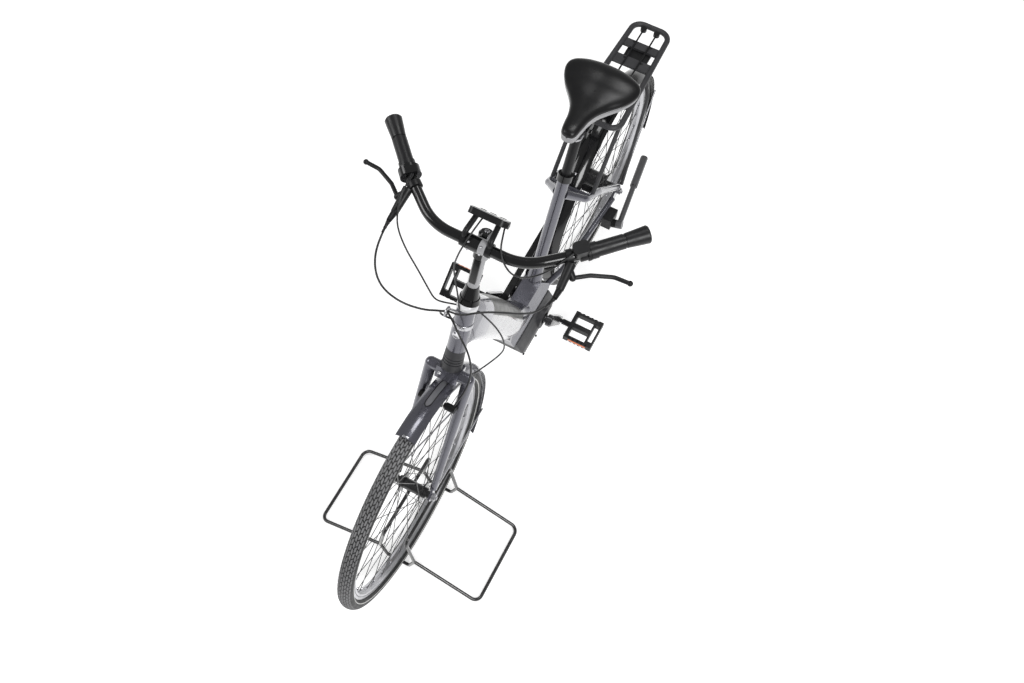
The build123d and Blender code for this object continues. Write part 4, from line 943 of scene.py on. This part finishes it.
def rack_trim():
    """Tray between the rack's plates, with its bolts."""
    low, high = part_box("rack")
    tray = bmesh.new()
    middle = Vector((low.x + TRAY_AHEAD, 0.0, high.z - TRAY_DROP))
    block(tray, middle, (1, 0, 0), (0, 0, 1), TRAY_SIZE, bevel=3.0, segments=3)
    for left in TRAY_BOLT_SIDES:
        for ahead in TRAY_BOLTS_AHEAD:
            place = Vector((low.x + ahead, left * MM, high.z - TRAY_BOLT_DROP))
            bolt(tray, place, (0, 0, 1), radius=3.2, height=1.6)
    piece("rack_tray", closed_up(tray), "frame", "black_plastic")


COLLAR_BOLT_AHEAD = 0.006
COLLAR_BOLT_SINK = 0.001


def saddle_hardware():
    """Bolt of the seatpost's collar."""
    bolts = bmesh.new()
    low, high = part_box("seat_clamp")
    centre = (low + high) / 2
    place = Vector((low.x + COLLAR_BOLT_AHEAD, high.y - COLLAR_BOLT_SINK, centre.z))
    bolt(bolts, place, ACROSS, radius=3.4, height=2.6)
    piece("seat_clamp_bolts", closed_up(bolts), "frame", "chrome")


# ------------------------------------------------------------------ finishes of the frame

OTHER_SLOTS = {
    "rack_springs": "black_plastic", "seat_clamp": "gloss_black", "saddle_rails": "steel", "grips": "rubber",
    "chain": "steel", "twist_shifter": "gloss_black", "control_pod": "black_plastic",
    "headset_cap": "gloss_black",
}
# Grey of the stem's lower band; it also paints the highlight on the stem's left flank.
STEM_GREY = (0.32, 0.32, 0.33)
STEM_LENGTH = (600, 800)
STEM_STRETCH = (0.15, 0.36)
STEM_HIGHLIGHT_SIDE = ((0, 0.0085, 0), (0, 0.0285, 0))
TUBE_HEAD = Vector((0.3006, 0.0, 0.8164))
TUBE_FOOT = Vector((-0.0297, 0.0, 0.379))
# Stretch at the head of the main tube that is painted lighter as a highlight.
HEAD_HIGHLIGHT_STRETCH = (0.05, 0.2)
SILVER_STRETCH = (0.18, 0.87)


def dress_frame():
    """Each node's finish, with the main tube's silver sides and a painted highlight on its head, and the stem's
    grey lower part and a grey left flank that is a painted highlight.
    """
    slots = {part["node"]: part["material_slot"] for part in frame["record"]["subparts"]}
    for name, made in frame["nodes"].items():
        made.data.materials.clear()
        made.data.materials.append(finish(slots[name]))
    for name, slot in OTHER_SLOTS.items():
        frame["nodes"][name].data.materials[0] = finish(slot)
    paints = colours()
    foot, top = [on_steering(0, 0, up) for up in STEM_LENGTH]
    stem = with_zone(finish("gloss_black"), "stem_black_and_grey", foot, top, *STEM_STRETCH, STEM_GREY)
    # Painted highlight: a grey stripe down the stem's left flank, where the light falls.
    stem = with_zone(stem, "stem_with_painted_highlight", *STEM_HIGHLIGHT_SIDE, 0.0, 1.0, STEM_GREY)
    # Painted highlight: a lighter stretch at the head of the main tube, where light from above falls.
    tube = with_zone(finish("frame_paint"), "frame_paint_and_painted_highlight", TUBE_HEAD, TUBE_FOOT, *HEAD_HIGHLIGHT_STRETCH,
                     paints.painted_head_highlight)
    tube = with_zone(tube, "frame_paint_and_silver", TUBE_HEAD, TUBE_FOOT, *SILVER_STRETCH,
                     paints.silver_paint)
    dressed = {
        "stem": stem,
        "main_frame": tube,
        "cranks": surface("crank_arm", paints.crank, 0.25, metallic=0.7, coat=0.4),
        "kickstand": surface("side_stand", paints.stand, 0.35, metallic=0.5, coat=0.2),
    }
    for name, material in dressed.items():
        frame["nodes"][name].data.materials[0] = material


# ------------------------------------------------------------------ operators

class BICYCLE_OT_finishes(bpy.types.Operator):
    """Give every node of the frame the finish of its slot."""

    bl_idname = "bicycle.finishes"
    bl_label = "Finish the frame's nodes"

    def execute(self, context):
        dress_frame()
        return {"FINISHED"}


class BICYCLE_OT_cables(bpy.types.Operator):
    """Build the hoses and cables."""

    bl_idname = "bicycle.cables"
    bl_label = "Hoses and cables"

    def execute(self, context):
        cables()
        return {"FINISHED"}


class BICYCLE_OT_tyres(bpy.types.Operator):
    """Build both tyres with their tread."""

    bl_idname = "bicycle.tyres"
    bl_label = "Tyres with tread"

    def execute(self, context):
        tyre_piece("front_tyre", FRONT_AXLE, "front_wheel", "front_tyre")
        tyre_piece("rear_tyre", REAR_AXLE, "rear_wheel", "rear_tyre")
        return {"FINISHED"}


class BICYCLE_OT_saddle(bpy.types.Operator):
    """Build the padded saddle, the bolt of the seatpost's collar and the rack's tray."""

    bl_idname = "bicycle.saddle"
    bl_label = "Padded saddle and rack tray"

    def execute(self, context):
        saddle_piece()
        saddle_hardware()
        rack_trim()
        return {"FINISHED"}


class BICYCLE_OT_cockpit(bpy.types.Operator):
    """Build the trim of the head tube, stem, display, crown and front fender."""

    bl_idname = "bicycle.cockpit"
    bl_label = "Cockpit trim"

    def execute(self, context):
        head_trim()
        stem_trim()
        display_trim()
        crown_trim()
        badge_trim()
        fender_trim()
        return {"FINISHED"}


class BICYCLE_OT_running_gear(bpy.types.Operator):
    """Build the trim of the wheels, the pedals and the motor."""

    bl_idname = "bicycle.running_gear"
    bl_label = "Wheel, pedal and motor trim"

    def execute(self, context):
        wheel_trim()
        pedal_trim()
        motor_trim()
        return {"FINISHED"}


FLOOR_HALF_SIZE = 14.0
FLOOR_GLOW = 0.45
WORLD_STRENGTH = 0.3
WHITE = (1.0, 1.0, 1.0, 1.0)
LAMPS = (
    ("key_light", (1.6, 2.2, 3.2), (0.0, 0.0, 0.5), 1.5, 80.0),
    ("fill_light", (1.4, -2.6, 2.6), (0.0, 0.0, 0.4), 1.6, 40.0),
    ("top_light", (-1.2, 0.2, 3.6), (0.0, 0.0, 0.4), 1.2, 26.0),
)


class BICYCLE_OT_stage(bpy.types.Operator):
    """Build the floor, the lights and the camera."""

    bl_idname = "bicycle.stage"
    bl_label = "Floor, lights and camera"

    def execute(self, context):
        mesh = bmesh.new()
        bmesh.ops.create_grid(mesh, x_segments=8, y_segments=8, size=FLOOR_HALF_SIZE)
        data = bpy.data.meshes.new("studio_floor")
        mesh.to_mesh(data)
        mesh.free()
        pale = surface("studio_floor", colours().floor, 0.6, variation=0.01, bump=0.0)
        shader = pale.node_tree.nodes["Principled BSDF"]
        shader.inputs["Emission Color"].default_value = WHITE
        shader.inputs["Emission Strength"].default_value = FLOOR_GLOW
        data.materials.append(pale)
        floor = bpy.data.objects.new("studio_floor", data)
        context.scene.collection.objects.link(floor)
        world = bpy.data.worlds.new("studio_light")
        world.use_nodes = True
        background = world.node_tree.nodes["Background"]
        background.inputs["Color"].default_value = WHITE
        background.inputs["Strength"].default_value = WORLD_STRENGTH
        context.scene.world = world
        for lamp in LAMPS:
            lamp_at(*lamp)
        add_camera()
        context.scene.view_settings.view_transform = "Standard"
        context.scene.view_settings.look = "None"
        return {"FINISHED"}


def lamp_at(name, place, target, size, power):
    """Square soft light turned to a target."""
    data = bpy.data.lights.new(name, "AREA")
    data.size = size
    data.energy = power
    made = bpy.data.objects.new(name, data)
    made.location = place
    made.rotation_euler = (Vector(target) - Vector(place)).to_track_quat("-Z", "Y").to_euler()
    bpy.context.scene.collection.objects.link(made)


CAMERA_PLACE = Vector((1.3496, 0.5641, 3.0095))
CAMERA_TARGET = Vector((0.0387, 0.0185, 0.3))
CAMERA_ROLL = 0.09611
SENSOR_WIDTH = 36.0


def add_camera():
    """Camera high in front of the bicycle, a little to its left."""
    data = bpy.data.cameras.new("camera")
    data.lens = sizes().camera_lens
    data.sensor_width = SENSOR_WIDTH
    ahead = (CAMERA_TARGET - CAMERA_PLACE).normalized()
    right = ahead.cross(Vector((0, 0, 1))).normalized()
    above = right.cross(ahead)
    turned_right = right * math.cos(CAMERA_ROLL) + above * math.sin(CAMERA_ROLL)
    turned_above = above * math.cos(CAMERA_ROLL) - right * math.sin(CAMERA_ROLL)
    matrix = Matrix((turned_right, turned_above, -ahead)).transposed().to_4x4()
    matrix.translation = CAMERA_PLACE
    made = bpy.data.objects.new("camera", data)
    made.matrix_world = matrix
    bpy.context.scene.collection.objects.link(made)
    bpy.context.scene.camera = made


class BICYCLE_PT_panel(bpy.types.Panel):
    """Sizes, colours and pieces of the bicycle."""

    bl_idname = "BICYCLE_PT_panel"
    bl_label = "Bicycle"
    bl_space_type = "VIEW_3D"
    bl_region_type = "UI"
    bl_category = "Bicycle"

    def draw(self, context):
        for group in (context.scene.bicycle_colours, context.scene.bicycle_sizes):
            box = self.layout.box()
            for name in group.bl_rna.properties.keys():
                if name not in ("rna_type", "name"):
                    box.prop(group, name)
        for operator in OPERATORS:
            self.layout.operator(operator.bl_idname)


OPERATORS = (
    BICYCLE_OT_stage, BICYCLE_OT_finishes, BICYCLE_OT_cables, BICYCLE_OT_tyres, BICYCLE_OT_saddle,
    BICYCLE_OT_cockpit, BICYCLE_OT_running_gear,
)
CLASSES = (BicycleColours, BicycleSizes, *OPERATORS, BICYCLE_PT_panel)


def register():
    """Registers the add-on's classes and its values on the scene."""
    for item in CLASSES:
        bpy.utils.register_class(item)
    bpy.types.Scene.bicycle_colours = bpy.props.PointerProperty(type=BicycleColours)
    bpy.types.Scene.bicycle_sizes = bpy.props.PointerProperty(type=BicycleSizes)


def unregister():
    """Takes the add-on's values and classes away."""
    del bpy.types.Scene.bicycle_sizes
    del bpy.types.Scene.bicycle_colours
    for item in reversed(CLASSES):
        bpy.utils.unregister_class(item)


def main():
    """Runs every operator in order."""
    register()
    for operator in OPERATORS:
        group, name = operator.bl_idname.split(".")
        getattr(getattr(bpy.ops, group), name)()


if __name__ == "__main__":
    main()
